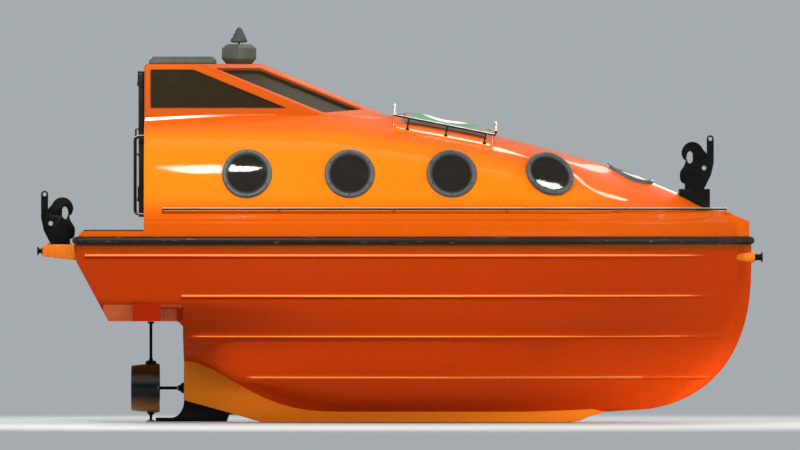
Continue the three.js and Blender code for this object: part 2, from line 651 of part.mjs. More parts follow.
// Fender: rounded levels around the sheer, outside the hull and the band
const FENDER_LOW = 676;
const FENDER_HIGH = 735;
const FENDER_OUT = 30;
const FENDER_LEVELS = [
  [FENDER_LOW, 12], [FENDER_LOW + 12, 26], [(FENDER_LOW + FENDER_HIGH) / 2, FENDER_OUT], [FENDER_HIGH - 12, 26],
  [FENDER_HIGH, 12],
];
const FENDER_NOSE = 0.6;
const FENDER_CORE = 20;
function fenderPlan(z, out) {
  const half = RING_SHARES.map((share) => {
    const x = TRANSOM_X + share * (STEM_X - TRANSOM_X);
    const y = halfAtShare(share, SHEER_Z);
    const back = share === 0 ? -out : 0;
    const ahead = share === 1 ? out : 0;
    const wide = share === 1 ? out * FENDER_NOSE : out;
    return [x + back + ahead, y + wide, z];
  });
  return bothSides(half);
}
const fenderCore = loft([fenderPlan(FENDER_LOW - FENDER_CORE, GAP), fenderPlan(FENDER_HIGH + FENDER_CORE, GAP)]);
add("fender", loft(FENDER_LEVELS.map(([z, out]) => fenderPlan(z, out))).subtract(fenderCore), "rubber");

// Round windows: a clamping ring and its pane
const PORT_GLASS = [-4, 6];
for (const p of portholes) {
  const ring = [
    [PORT_INNER, -PORT_SEAT + GAP], [PORT_OUTER, -PORT_SEAT + GAP], [PORT_OUTER, PORT_PROUD - PORT_EDGE],
    [PORT_OUTER - PORT_EDGE, PORT_PROUD], [PORT_INNER, PORT_PROUD], [PORT_INNER, -PORT_SEAT + GAP],
  ];
  add(`porthole_ring_${p.name}`, turned(ring, p.place, p.normal, PORT_SIDES), "ringGrey");
  add(`porthole_glass_${p.name}`, rod(p.place, p.normal, PORT_INNER - GAP * 2, PORT_GLASS[0], PORT_GLASS[1], PORT_SIDES), "darkGlass");
}
add("porthole_ring_bow", bowRing(PORT_INNER + 2, PORT_OUTER, -6, PORT_PROUD).subtract(liftedArch), "ringGrey");
add("porthole_glass_bow", bowDisc(PORT_INNER - 3, -8, 4), "darkGlass");

// Aft door: frame, leaf with its pane and handle, and the grab rails beside it
const LEAF_AFT_X = CABIN_AFT_X - 46;
const LEAF_X = CABIN_AFT_X - 12;
const FRAME_X = CABIN_AFT_X - 7;
const frameRing = block(FRAME_X, CABIN_AFT_X - GAP, -DOOR_HALF, DOOR_HALF, DOOR_FOOT_Z, DOOR_TOP_Z);
add("door_frame", frameRing.subtract(doorway), "blackSteel");
const PANE_HALF = 150;
const PANE_Z = [1480, 1860];
const PANE_SUNK = [14, 22];
const paneHole = block(LEAF_AFT_X - PAST, LEAF_X + PAST, -PANE_HALF, PANE_HALF, PANE_Z[0], PANE_Z[1]);
const HANDLE = { x: LEAF_AFT_X - 22, root: LEAF_AFT_X + 4, y: -205, low: 1345, high: 1540, corner: 5, radius: 7, steps: 14 };
const handle = bar(
  [
    [HANDLE.root, HANDLE.y, HANDLE.low], [HANDLE.x, HANDLE.y, HANDLE.low + HANDLE.corner],
    [HANDLE.x, HANDLE.y, (HANDLE.low + HANDLE.high) / 2],
    [HANDLE.x, HANDLE.y, HANDLE.high - HANDLE.corner], [HANDLE.root, HANDLE.y, HANDLE.high],
  ],
  HANDLE.radius, HANDLE.steps,
);
const leaf = block(LEAF_AFT_X, LEAF_X, -DOOR_HALF, DOOR_HALF, DOOR_FOOT_Z, DOOR_TOP_Z).subtract(paneHole);
add("door_leaf", leaf.add(handle), "blackSteel");
const doorPane = block(
  LEAF_AFT_X + PANE_SUNK[0], LEAF_AFT_X + PANE_SUNK[1], -PANE_HALF + GAP, PANE_HALF - GAP,
  PANE_Z[0] + GAP, PANE_Z[1] - GAP,
);
add("door_window", doorPane, "darkGlass");
const HANDRAIL = { x: CABIN_AFT_X - 76, y: 330, low: 882, high: 1483, corner: 8, radius: 8, steps: 18 };
for (const [sideName, sign] of [["stbd", -1], ["port", 1]]) {
  const { x, low, high, corner } = HANDRAIL;
  const [y, wall] = [sign * HANDRAIL.y, CABIN_AFT_X - GAP];
  const line = [
    [wall, y, low], [x, y, low + corner], [x, y, (low + high) / 2], [x, y, high - corner], [wall, y, high],
  ];
  const rail = bar(line, HANDRAIL.radius, HANDRAIL.steps);
  const inside = block(wall, wall + PAST, y - PAST, y + PAST, low - PAST, high + PAST);
  add(`door_handrail_${sideName}`, rail.subtract(inside), "stainless");
}

// Roof hatch lid, with its edges drawn in
const hatchPlan = (inset, z) => {
  const [x0, x1, half] = [ROOF_HATCH.x0 + inset, ROOF_HATCH.x1 - inset, ROOF_HATCH.half - inset];
  return [[x0, -half, z], [x1, -half, z], [x1, half, z], [x0, half, z]];
};
const hatchLevels = [[0, ROOF_HATCH.z0], [0, ROOF_HATCH.shoulderZ], [ROOF_HATCH.drawnIn, ROOF_HATCH.z1]];
add("roof_hatch_lid", loft(hatchLevels.map(([inset, z]) => hatchPlan(inset, z))), "hatchGrey");

// Radar reflector, its corners fore and aft, and the lamp over it
const MAST_X = -1302;
const REFLECTOR_TOP_Z = 2169;
const LAMP_Z = REFLECTOR_TOP_Z + GAP;
const LAMP_SIDES = 20;
const diamond = (r, z) => [[MAST_X - r, 0, z], [MAST_X, -r, z], [MAST_X + r, 0, z], [MAST_X, r, z]];
const REFLECTOR_LEVELS = [[95, ROOF_Z + GAP], [130, 2059], [130, 2136], [92, REFLECTOR_TOP_Z]];
add("radar_reflector", loft(REFLECTOR_LEVELS.map(([r, z]) => diamond(r, z))), "hatchGrey");
const LAMP = [[0, LAMP_Z], [42, LAMP_Z], [42, 2180], [64, 2184], [64, 2200], [22, 2284], [12, 2293], [0, 2295]];
add("canopy_light", turned(LAMP, [MAST_X, 0, 0], [0, 0, 1], LAMP_SIDES), "hatchGrey");

// Foredeck hatch: a plinth that follows the deck, a lid on it and a guard rail round it. A panel's columns lie on
// the section's own corners, and its top may rise towards its edges
const TOP_SHARES = SECTION_FULL.map(([share]) => share).filter((share) => share > 0 && share <= 0.6);
function deckPanel({ x0, x1, half, edge = 0 }, low, high) {
  const rings = [x0, (x0 + x1) / 2, x1].map((x) => {
    const inner = TOP_SHARES.map((share) => share * footAt(x)).filter((y) => y < half);
    const across = [half, ...inner, 0, ...inner.slice().reverse().map((y) => -y), -half];
    const row = (up, rise) => across.map((y) => [x, y, deckAt(x, y) + up + (rise * Math.abs(y)) / half]);
    return [...row(high, edge), ...row(low, 0).reverse()];
  });
  return loft(rings);
}
const plinth = deckPanel(PLINTH, -PLINTH.sunk, PLINTH.high).subtract(liftedArch).subtract(deckWay);
add("deck_hatch_plinth", plinth, "canopyOrange");
add("deck_hatch_lid", deckPanel(DECK_HATCH, DECK_HATCH.low, DECK_HATCH.high), "lidWhite");

const GUARD_HALF = 705;
const GUARD_AFT = [-141, 1637, 1718];
const GUARD_FORE = [611, 1486, 1584];
const GUARD_RADIUS = 8;
const GUARD_POST = 6;
const GUARD_POSTS_X = [-36, 249, 535];
const GUARD_STEPS = 22;
const HOOP_IN = 30;
const HOOP_RISE = 4;
const guardArch = ([x, foot, top]) => {
  const line = [
    [x, -GUARD_HALF, foot], [x, -GUARD_HALF + HOOP_IN, top], [x, 0, top + HOOP_RISE], [x, GUARD_HALF - HOOP_IN, top],
    [x, GUARD_HALF, foot],
  ];
  return bar(line, GUARD_RADIUS, GUARD_STEPS);
};
let guard = guardArch(GUARD_AFT).add(guardArch(GUARD_FORE));
const guardFall = (GUARD_FORE[1] - GUARD_AFT[1]) / (GUARD_FORE[0] - GUARD_AFT[0]);
for (const sign of [-1, 1]) {
  const y = sign * GUARD_HALF;
  guard = guard.add(bar([[GUARD_AFT[0] - 4, y, GUARD_AFT[1]], [GUARD_FORE[0] + 4, y, GUARD_FORE[1]]], GUARD_RADIUS, 1));
  for (const x of GUARD_POSTS_X) {
    const z = GUARD_AFT[1] + guardFall * (x - GUARD_AFT[0]);
    guard = guard.add(rod([x, y, z], [0, 0, -1], GUARD_POST, -4, z - deckAt(x, y) - PLINTH.high, 8));
  }
}
add("hatch_guard_rail", guard.subtract(plinth.translate([0, 0, GAP])), "stainless");

// Side grab rails on their posts
const RAIL_Z = 940;
const RAIL_OFF = 45;
const RAIL_RADIUS = 8;
const RAIL_POST = 6;
const RAIL_POINTS = 16;
const POSTS_X = [-1861, -998, -143, 695, 1516, 2330];
const LAST_POST_X = POSTS_X[POSTS_X.length - 1];
const POST_REACH = 90;
const LAST_POST_REACH = 60;
const largest = (made) => made.decompose().sort((a, b) => b.volume() - a.volume())[0];
for (const [sideName, sign] of [["stbd", -1], ["port", 1]]) {
  const yAt = (x) => sideAt(x, RAIL_Z).y + RAIL_OFF;
  const line = [];
  for (let i = 0; i <= RAIL_POINTS; i++) {
    const x = POSTS_X[0] + ((LAST_POST_X - POSTS_X[0]) * i) / RAIL_POINTS;
    line.push([x, sign * yAt(x), RAIL_Z]);
  }
  let rail = bar(line, RAIL_RADIUS, 24, 6, 0.5);
  for (const x of POSTS_X) {
    const [inward, reach] = x === LAST_POST_X ? [[0, 0, -1], LAST_POST_REACH] : [[0, -sign, -0.25], POST_REACH];
    rail = rail.add(rod([x, sign * yAt(x), RAIL_Z], inward, RAIL_POST, -4, reach, 6));
  }
  const skinCut = archOuter.add(band).translate([0, sign * GAP, GAP]);
  add(`side_rail_${sideName}`, largest(rail.subtract(skinCut)), "stainless");
}

// Stern bracket and bow fairlead, each with its spool
const BRACKET_TOP = 676;
const BRACKET_AFT_X = -2766;
const BRACKET_HALF = 90;
const bracketSide = [
  [BRACKET_AFT_X, 590], [BRACKET_AFT_X, 660], [-2750, BRACKET_TOP - GAP], [TRANSOM_X - GAP, BRACKET_TOP - GAP],
  [TRANSOM_X - GAP, 559],
];
add("stern_bracket", slab(bracketSide, -BRACKET_HALF, BRACKET_HALF), "houseOrange");
const SPOOL_SIDES = 16;
const STERN_SPOOL_Z = 627;
const STERN_SPOOL = [[0, GAP], [18, GAP], [18, 28], [32, 30], [32, 41], [0, 41]];
add("stern_spool", turned(STERN_SPOOL, [BRACKET_AFT_X, 0, STERN_SPOOL_Z], [-1, 0, 0], SPOOL_SIDES), "blackSteel");
const FAIRLEAD_Z = 580;
const FAIRLEAD_X = [2330, 2544];
const FAIRLEAD_RADIUS = 41;
const fairlead = rod([0, 0, FAIRLEAD_Z], [1, 0, 0], FAIRLEAD_RADIUS, FAIRLEAD_X[0], FAIRLEAD_X[1], 20);
add("bow_fairlead", largest(fairlead.subtract(hullOuter.add(hullOuter.translate([GAP, 0, 0])))), "houseOrange");
const BOW_SPOOL = [[0, GAP], [25, GAP], [25, 48], [39, 50], [39, 58], [0, 58]];
add("bow_spool", turned(BOW_SPOOL, [FAIRLEAD_X[1], 0, FAIRLEAD_Z], [1, 0, 0], SPOOL_SIDES), "blackSteel");

// Lifting hook, drawn about its pivot with the beak on the +x side. The cheeks' keepers close the throat
const EYE = [-46, 217];
const eyeArc = Array.from({ length: 9 }, (_, i) => {
  const turn = (i / 8) * Math.PI;
  return [EYE[0] + 26 * Math.cos(turn), EYE[1] + 27 * Math.sin(turn)];
});
const HOOK_FOOT = -156;
const CHEEK = [
  [0, HOOK_FOOT], [144, HOOK_FOOT], [144, -117], [159, -113], [172, -101], [179, -84], [181, -62], [180, -40], [175, -22],
  [165, -7], [152, 12], [143, 30], [139, 46], [137, 62], [132, 70], [128, 64], [125, 53], [120, 39], [109, 33], [98, 37],
  [89, 47], [84, 56], [30, 62], [-21, 75], ...eyeArc, [-72, 38], [-52, -52],
];
const BEAK = [
  [-19, 111], [-32, 40], [-38, 0], [-27, -27], [0, -38], [40, -30], [70, -10], [85, 20], [85, 104], [89, 115], [96, 123],
  [105, 126], [113, 123], [121, 115], [127, 102], [130, 88], [131, 76], [135, 62], [143, 58], [153, 66], [162, 84],
  [168, 104], [168, 123], [159, 149], [143, 172], [120, 189], [92, 196], [63, 192], [40, 181], [20, 160], [6, 135],
];
const HOOK_SOLE = [[0, HOOK_FOOT], [144, HOOK_FOOT], [144, -110], [-22, -110]];
const CHEEK_IN = 19;
const CHEEK_OUT = 33;
const BEAK_HALF = 13;
const BUSH = { flange: 26, outer: 24, bore: 17, beakBore: 24.6, sides: 16 };
const EYE_BORE = 15;
function hook(name, pivot, facing) {
  const put = (outline) => outline.map(([x, z]) => [pivot[0] + facing * x, pivot[1] + z]);
  const pin = ([x, z], radius, from, to) =>
    rod([pivot[0] + facing * x, 0, pivot[1] + z], [0, 1, 0], radius, from, to, BUSH.sides);
  let frame = slab(put(CHEEK), -CHEEK_OUT, -CHEEK_IN).add(slab(put(CHEEK), CHEEK_IN, CHEEK_OUT));
  frame = frame.add(slab(put(HOOK_SOLE), -CHEEK_OUT, CHEEK_OUT));
  frame = frame.add(pin([0, 0], BUSH.flange, -CHEEK_OUT, -CHEEK_IN)).add(pin([0, 0], BUSH.outer, -CHEEK_OUT, CHEEK_OUT));
  frame = frame.subtract(pin([0, 0], BUSH.bore, -PAST, PAST)).subtract(pin(EYE, EYE_BORE, -PAST, PAST));
  add(`${name}_hook_frame`, frame, "blackSteel");
  const beak = slab(put(BEAK), -BEAK_HALF, BEAK_HALF).subtract(pin([0, 0], BUSH.beakBore, -PAST, PAST));
  add(`${name}_hook_beak`, beak, "blackSteel");
}
const AFT_HOOK = [-2706, BRACKET_TOP - HOOK_FOOT];
const FORE_HOOK = [2165, 1245];
hook("aft", AFT_HOOK, 1);
hook("fore", FORE_HOOK, -1);
const FORE_FOOT_X = [1977, 2208];
const FORE_FOOT_HALF = 75;
const foreFootZ = FORE_HOOK[1] + HOOK_FOOT - GAP;
const foreFootSide = [
  [FORE_FOOT_X[0], 1040], [FORE_FOOT_X[0], foreFootZ], [FORE_FOOT_X[1], foreFootZ], [FORE_FOOT_X[1], 900], [2150, 900],
];
const foreFoot = slab(foreFootSide, -FORE_FOOT_HALF, FORE_FOOT_HALF).subtract(archOuter.add(band).translate([0, 0, GAP]));
add("fore_hook_plinth", largest(foreFoot), "blackSteel");

// Steering nozzle on its stock, the propeller and its shaft. The pintle's heights are from the shaft
const SHAFT_Z = -395;
const NOZZLE_SIDES = 26;
const NOZZLE_SECTION = [
  [150, -144], [168, -144], [178, -40], [184, 40], [181, 60], [170, 66], [158, 58], [148, 20], [150, -144],
];
const STOCK_TOP = COUNTER_Z - 6;
const STOCK = [
  // radius, from, to, sides
  [11, SHAFT_Z + 160, STOCK_TOP, 12], [40, SHAFT_Z + 175, SHAFT_Z + 200, 16], [24, STOCK_TOP - 16, STOCK_TOP, 16],
];
const PINTLE = [[0, -243], [22, -243], [10, -236], [12, -200], [30, -185], [30, -155], [0, -155]];
const ductMiddle = [NOZZLE_X, 0, SHAFT_Z];
let nozzle = turned(NOZZLE_SECTION, ductMiddle, [1, 0, 0], NOZZLE_SIDES);
for (const [radius, from, to, sides] of STOCK) {
  nozzle = nozzle.add(rod([NOZZLE_X, 0, 0], [0, 0, 1], radius, from, to, sides));
}
nozzle = nozzle.add(turned(PINTLE, ductMiddle, [0, 0, 1], 16));
add("steering_nozzle", nozzle, "blackSteel");

const PROP_X = NOZZLE_X - 14;
const BLADES = 4;
const BLADE_THICK = 5;
const BLADE_ROWS = [
  // radius, half chord, twist
  [18, 30, 0.95], [60, 46, 0.75], [100, 48, 0.55], [126, 34, 0.45], [134, 14, 0.42],
];
const PROP_HUB = [[0, -60], [14, -54], [26, -30], [28, 40], [0, 40]];
const SHAFT_END_X = -1760;
const SHAFT_RADIUS = 12;
let propeller = turned(PROP_HUB, [PROP_X, 0, SHAFT_Z], [1, 0, 0], 16);
for (let k = 0; k < BLADES; k++) {
  const turn = (k / BLADES) * 2 * Math.PI;
  const [ct, st] = [Math.cos(turn), Math.sin(turn)];
  const rings = BLADE_ROWS.map(([radius, chord, twist]) => {
    const [c, s] = [Math.cos(twist), Math.sin(twist)];
    const section = [[-chord, 0], [0, -BLADE_THICK], [chord, 0], [0, BLADE_THICK]];
    return section.map(([u, v]) => {
      const [x, y] = [u * s + v * c, u * c - v * s];
      return [PROP_X + x, y * ct - radius * st, SHAFT_Z + y * st + radius * ct];
    });
  });
  propeller = propeller.add(loft(rings));
}
propeller = propeller.add(rod([PROP_X, 0, SHAFT_Z], [1, 0, 0], SHAFT_RADIUS, 30, SHAFT_END_X - PROP_X, 12));
add("propeller", propeller, "bronze");
const STERN_TUBE = [[0, 2], [20, 2], [20, 20], [30, 22], [40, 38], [40, 46], [0, 46]];
add("stern_tube", turned(STERN_TUBE, [SHAFT_END_X, 0, SHAFT_Z], [1, 0, 0], 16), "blackSteel");

// Boxes under the counter, one at each side of the tuck, and the engine as one block
const COUNTER_BOX = { x: [-2084, -1876], half: 900, top: 238 };
const ENGINE = { x: [-1000, -350], half: 230, foot: FLOOR_Z + 25, top: 270 };
const { x: boxX, half: boxHalf } = COUNTER_BOX;
const acrossBox = block(boxX[0], boxX[1], -boxHalf, boxHalf, COUNTER_Z, COUNTER_BOX.top);
const boxes = acrossBox.subtract(hullOuter.translate([0, 0, -GAP])).decompose();
boxes.forEach((box, i) => add(`counter_box_${i + 1}`, box, "hullOrange"));
add("engine", block(ENGINE.x[0], ENGINE.x[1], -ENGINE.half, ENGINE.half, ENGINE.foot, ENGINE.top), "castIron");

export default model;
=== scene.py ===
# %% [markdown]
# # An enclosed lifeboat, dressed in Blender
# The boat's frame comes from a packed model, in which every piece has its real size and place, and every hinge its
# axis. Blender adds what that model leaves plain: smooth mouldings, small fittings and the finish of each surface.
# Each cell builds one piece or one finish. The cell before it says what that is on the real boat and why it is made so.

# %% Load the frame and note its size
import math

import bmesh
import bpy
from mathutils import Matrix, Vector


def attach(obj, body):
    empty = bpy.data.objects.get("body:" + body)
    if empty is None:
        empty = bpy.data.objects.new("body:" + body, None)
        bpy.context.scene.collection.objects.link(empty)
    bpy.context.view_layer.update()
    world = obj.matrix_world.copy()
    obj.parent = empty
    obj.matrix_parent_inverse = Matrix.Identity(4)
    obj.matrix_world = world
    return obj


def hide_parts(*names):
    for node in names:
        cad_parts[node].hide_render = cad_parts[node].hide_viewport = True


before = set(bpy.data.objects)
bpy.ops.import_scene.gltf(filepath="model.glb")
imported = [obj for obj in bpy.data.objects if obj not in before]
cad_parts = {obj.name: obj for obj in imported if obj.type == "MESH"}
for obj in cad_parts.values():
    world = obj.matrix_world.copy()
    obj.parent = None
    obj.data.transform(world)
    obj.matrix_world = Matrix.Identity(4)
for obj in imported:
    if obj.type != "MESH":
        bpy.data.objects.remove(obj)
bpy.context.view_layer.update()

# %% [markdown]
# ## Camera
# The photograph is a side view from far away: level, with hardly any perspective. A very long lens 150 m from the
# boat gives that look. An orthographic camera could do it too, but it would crop the boat in the slanting views.

# %% A long lens, level with the middle of the boat
CAMERA_AWAY = 150.0
VIEW_WIDTH = 5.965
VIEW_MIDDLE_X = -0.102
VIEW_MIDDLE_Z = 0.82
SENSOR = 36.0

camera_data = bpy.data.cameras.new("camera")
camera_data.sensor_width = SENSOR
camera_data.lens = SENSOR * CAMERA_AWAY / VIEW_WIDTH
camera_data.clip_end = 400.0
camera = bpy.data.objects.new("camera", camera_data)
camera.location = (VIEW_MIDDLE_X, -CAMERA_AWAY, VIEW_MIDDLE_Z)
camera.rotation_euler = (math.pi / 2, 0, 0)
bpy.context.scene.collection.objects.link(camera)
bpy.context.scene.camera = camera
print("lens", round(camera_data.lens), "mm")

# %% [markdown]
# ## Shader maths as plain sums
# A material is a graph of nodes. Written out link by link it is hard to read, so a small class wraps a socket:
# `a * 0.5 + b` on wrapped sockets adds the Math nodes for it. A finish is a material with one method that adds any
# other node. The plain numbers of a finish are set on its shader's own sockets.

# %% The class that wraps a socket
class Wire:
    """An output socket that Python's operators can work on."""

    def __init__(self, finish, socket):
        self.finish = finish
        self.socket = socket

    def maths(self, operation, *values):
        return self.finish.node("ShaderNodeMath", {"operation": operation}, dict(enumerate(values)))

    def __add__(self, other):
        return self.maths("ADD", self, other)

    def __sub__(self, other):
        return self.maths("SUBTRACT", self, other)

    def __rsub__(self, other):
        return self.maths("SUBTRACT", other, self)

    def __mul__(self, other):
        return self.maths("MULTIPLY", self, other)

    def __pow__(self, other):
        return self.maths("POWER", self, other)

    __radd__ = __add__
    __rmul__ = __mul__

    def most(self, other):
        return self.maths("MAXIMUM", self, other)

    def between(self, low, high):
        """0 below low, 1 above high, and smooth between them."""
        settings = {"interpolation_type": "SMOOTHSTEP"}
        return self.finish.node("ShaderNodeMapRange", settings, {"Value": self, "From Min": low, "From Max": high})


# %% The class that builds a material
class Finish:
    """A material, with the tools that a finish is drawn with."""

    def __init__(self, name, slot, **plain):
        self.material = bpy.data.materials.new(name)
        self.material.use_nodes = True
        self.tree = self.material.node_tree
        self.shader = self.tree.nodes["Principled BSDF"]
        self.slot = slot
        for socket, value in plain.items():
            self.shader.inputs[socket.replace("_", " ")].default_value = value
        self.place = self.node("ShaderNodeTexCoord", out="Object")

    def node(self, kind, settings=None, sockets=None, out=0):
        """Adds any node: its settings first, then the values or links of its sockets."""
        made = self.tree.nodes.new(kind)
        for key, value in (settings or {}).items():
            if key == "stops":
                ramp = made.color_ramp.elements
                for stop, (position, colour) in zip([ramp[0], ramp[1]] + [ramp.new(0.5) for _ in value[2:]], value):
                    stop.position = position
                    stop.color = colour
            else:
                setattr(made, key, value)
        for key, value in (sockets or {}).items():
            self.put(made.inputs[key], value)
        return Wire(self, made.outputs[out])

    def put(self, socket, value):
        if isinstance(value, Wire):
            self.tree.links.new(value.socket, socket)
        else:
            socket.default_value = value

    def feed(self, **sockets):
        """Links what varies to the shader."""
        for name, value in sockets.items():
            self.put(self.shader.inputs[name.replace("_", " ")], value)

    def noise(self, scale, detail=3.0, stretch=(1, 1, 1), seed=0.0):
        place = self.node(
            "ShaderNodeMapping", {}, {"Vector": self.place, "Scale": stretch, "Location": (seed, seed, seed)}
        )
        return self.node("ShaderNodeTexNoise", {}, {"Vector": place, "Scale": scale, "Detail": detail})

    def grains(self, scale):
        return self.node("ShaderNodeTexVoronoi", {}, {"Vector": self.place, "Scale": scale})

    def mix(self, share, first, second):
        """Two colours by a share from 0 to 1."""
        settings = {"data_type": "RGBA"}
        return self.node("ShaderNodeMix", settings, {"Factor": share, 6: first, 7: second}, out=2)

    def axis(self, name):
        return self.node("ShaderNodeSeparateXYZ", {}, {0: self.place}, out=name)

    def edges(self, low=0.52, high=0.6):
        """Where the surface is convex, such as a rubbed corner."""
        return self.node("ShaderNodeNewGeometry", out="Pointiness").between(low, high)

    def bump(self, height, distance, strength=1.0, below=None):
        sockets = {"Height": height, "Distance": distance, "Strength": strength}
        if below is not None:
            sockets["Normal"] = below
        return self.node("ShaderNodeBump", {}, sockets)


def colour(red, green, blue):
    return (red, green, blue, 1.0)


print("operators ready:", [name for name in vars(Wire) if name.startswith("__")][3:])

# %% [markdown]
# ## Gelcoat
# The mouldings are glass fibre with a coloured gelcoat. Real gelcoat has a slight orange peel, fine speckle in the
# pigment, faint runs from rain and dust that makes some patches less glossy. A clear coat layer gives the hard
# highlights, and noises at three sizes carry the peel, the speckle and the patches.

# %% Orange gelcoat in its four shades
PEEL_SCALE = 90.0
SPECKLE_SCALE = 150.0
PATCH_SCALE = 1.6
UP_FACING = (0.42, 0.86)
SOFT = 0.006


def gelcoat(name, slot, paint, gloss, worn=0.3, coat=0.35, high=None, low=None, waxed=None, bands=(),
            facing=UP_FACING, **plain):
    """Orange moulding: paint is its colour, gloss its roughness, worn how much dust it shows.

    high is a colour painted where it faces up, low one painted near its foot, with the heights it fades between; on the
    cabin and the hull both are painted light and shade. waxed is the weight of the clear coat on what faces up, where
    rain would stand. Each of the bands is a colour, the lengths and heights it lies between and how softly its foot and
    its fore end fade. facing is how far the surface must face up for the high colour to begin, and to be full.
    """
    made = Finish(name, slot, Coat_Weight=coat, Coat_Roughness=0.035, **plain)
    patches = made.noise(PATCH_SCALE, 4.0).between(0.35, 0.7)
    speckle = made.noise(SPECKLE_SCALE, 4.0)
    runs = made.noise(3.0, 5.0, stretch=(9, 9, 0.7)).between(0.52, 0.8)
    peel = made.noise(PEEL_SCALE, 2.0)

    def speckled(base):
        deep = colour(base[0] * 0.9, base[1] * 0.82, base[2] * 0.85)
        pale = colour(min(1, base[0] * 1.08 + 0.01), base[1] * 1.18, base[2] * 1.25)
        return made.mix(speckle.between(0.3, 0.7), deep, pale)

    shade = speckled(paint)
    up = made.node("ShaderNodeSeparateXYZ", {}, {0: made.node("ShaderNodeNewGeometry", out="Normal")}, out="Z")
    if waxed:
        above_ledge = made.axis("Z").between(0.93, 0.98)
        made.feed(Coat_Weight=up.between(0.4, 0.56) * above_ledge * (waxed - coat) + coat)
    if high:
        shade = made.mix((up + patches * 0.05).between(*facing), shade, speckled(high))
    if low:
        foot = made.axis("Z").between(low[1], low[2])
        shade = made.mix(1.0 - foot, shade, speckled(low[0]))
    for band, (from_x, to_x), (from_z, to_z), soft in bands:
        x, z = made.axis("X"), made.axis("Z")
        inside = x.between(from_x - SOFT, from_x) * (1.0 - x.between(to_x, to_x + soft))
        inside = inside * z.between(from_z - soft, from_z) * (1.0 - z.between(to_z, to_z + SOFT))
        shade = made.mix(inside, shade, speckled(band))
    dusty = colour(paint[0] * 0.8 + 0.02, paint[1] * 0.85 + 0.015, paint[2] + 0.01)
    shade = made.mix(runs * (0.22 * worn) + patches * (0.1 * worn), shade, dusty)
    made.feed(
        Base_Color=shade,
        Roughness=patches * (0.1 * worn) + runs * (0.12 * worn) + speckle * 0.03 + gloss,
        Normal=made.bump(peel + speckle * 0.35, 0.0006, 0.18),
    )
    return made


ORANGE_SHEEN = colour(1.0, 0.55, 0.12)
RED_SHEEN = colour(1.0, 0.45, 0.2)
# Painted shade: the cabin's top is painted a deeper red where it faces up, and its side a darker orange from 1.06 m
# down to 0.85 m, below the rail.
canopy_gelcoat = gelcoat(
    "canopy_gelcoat", "canopy_gelcoat", (0.6, 0.13, 0.004), 0.34, coat=0.032, high=(0.52, 0.074, 0.004),
    low=((0.4, 0.06, 0.002), 0.85, 1.06), waxed=0.3, Specular_IOR_Level=0.02, Specular_Tint=ORANGE_SHEEN,
)
# Painted light: the hull is painted paler from 0.15 m downwards, fully so below -0.5 m, for light from below, and a
# pale colour where it faces up is a painted highlight on the rails' tops.
hull_gelcoat = gelcoat(
    "hull_gelcoat", "hull_gelcoat", (0.295, 0.026, 0.002), 0.38, worn=0.7, coat=0.0, facing=(0.06, 0.4),
    low=((0.66, 0.056, 0.003), -0.5, 0.15), high=(0.66, 0.19, 0.035), Specular_IOR_Level=0.02, Specular_Tint=RED_SHEEN,
    # Painted light on the counter's lower band, where it faces down to the floor: paler about the box, less pale
    # between the box and the aperture.
    bands=[((0.54, 0.115, 0.04), (-2.3, -1.86), (0.1, 0.225), SOFT), ((0.36, 0.07, 0.03), (-1.86, -1.72), (0.1, 0.225), SOFT),
           # Painted shadow along the hull's top, under the fender.
           ((0.16, 0.03, 0.003), (-2.52, 2.6), (0.66, 0.8), 0.05),
           # Painted highlight along the top of the lowest rail.
           ((0.6, 0.17, 0.03), (-1.21, 1.7), (-0.317, -0.308), SOFT)],
)
house_gelcoat = gelcoat(
    "house_gelcoat", "house_gelcoat", (0.33, 0.046, 0.002), 0.38, coat=0.03,
    Specular_IOR_Level=0.12, Specular_Tint=ORANGE_SHEEN,
)
bracket_gelcoat = gelcoat(
    "bracket_gelcoat", "house_gelcoat", (0.54, 0.13, 0.012), 0.42, coat=0.03,
    Specular_IOR_Level=0.12, Specular_Tint=ORANGE_SHEEN,
)
keel_gelcoat = gelcoat(
    "keel_gelcoat", "keel_gelcoat", (0.95, 0.24, 0.011), 0.4, worn=0.8, coat=0.04,
    bands=[((0.66, 0.19, 0.009), (-2.2, -1.6), (-0.8, 0.3), 0.5)],
    Specular_IOR_Level=0.22, Specular_Tint=ORANGE_SHEEN,
)
# Painted shade: the boxes under the counter and the pipes beside them are painted a dark red for the shadow under the
# counter.
trunk_shade_gelcoat = gelcoat(
    "trunk_shade_gelcoat", "hull_gelcoat", (0.2, 0.009, 0.0008), 0.5, worn=0.8, coat=0.0,
    Specular_IOR_Level=0.06, Specular_Tint=RED_SHEEN,
)
liner_gelcoat = gelcoat("liner_gelcoat", "canopy_gelcoat", (0.5, 0.48, 0.42), 0.45, worn=1.0, coat=0.1)
print("gelcoats:", [f.material.name for f in (canopy_gelcoat, hull_gelcoat, house_gelcoat, keel_gelcoat)])

# %% [markdown]
# ## Rubber, plastics and glass
# The fender is extruded rubber, dull and slightly bloomed. The round windows' rings and the hatch are moulded in a
# grey-green plastic with a fine grain. The panes are dark tinted, and a little see-through.

# %% Rubber, moulded plastic, lid paint and glass
def rubber(name, slot, paint, drawn):
    """Extruded rubber: drawn is its stretch, so that its lines run along the piece."""
    made = Finish(name, slot, Specular_IOR_Level=0.16)
    lines = made.noise(60.0, 3.0, stretch=drawn)
    grain = made.noise(700.0, 2.0)
    bloom = made.noise(5.0, 5.0).between(0.45, 0.75)
    scuffs = made.noise(26.0, 6.0, stretch=(0.4, 1, 2.2)).between(0.62, 0.7)
    pale = colour(*(p * 1.5 + 0.012 for p in paint))
    shade = made.mix(bloom * 0.45 + lines * 0.2, colour(*paint), pale)
    shade = made.mix(scuffs * 0.35, shade, colour(0.16, 0.15, 0.145))
    made.feed(
        Base_Color=shade,
        Roughness=bloom * 0.14 + scuffs * 0.1 + 0.5,
        Normal=made.bump(grain * 0.5 + lines * 0.6 - scuffs * 0.3, 0.001, 0.35),
    )
    return made


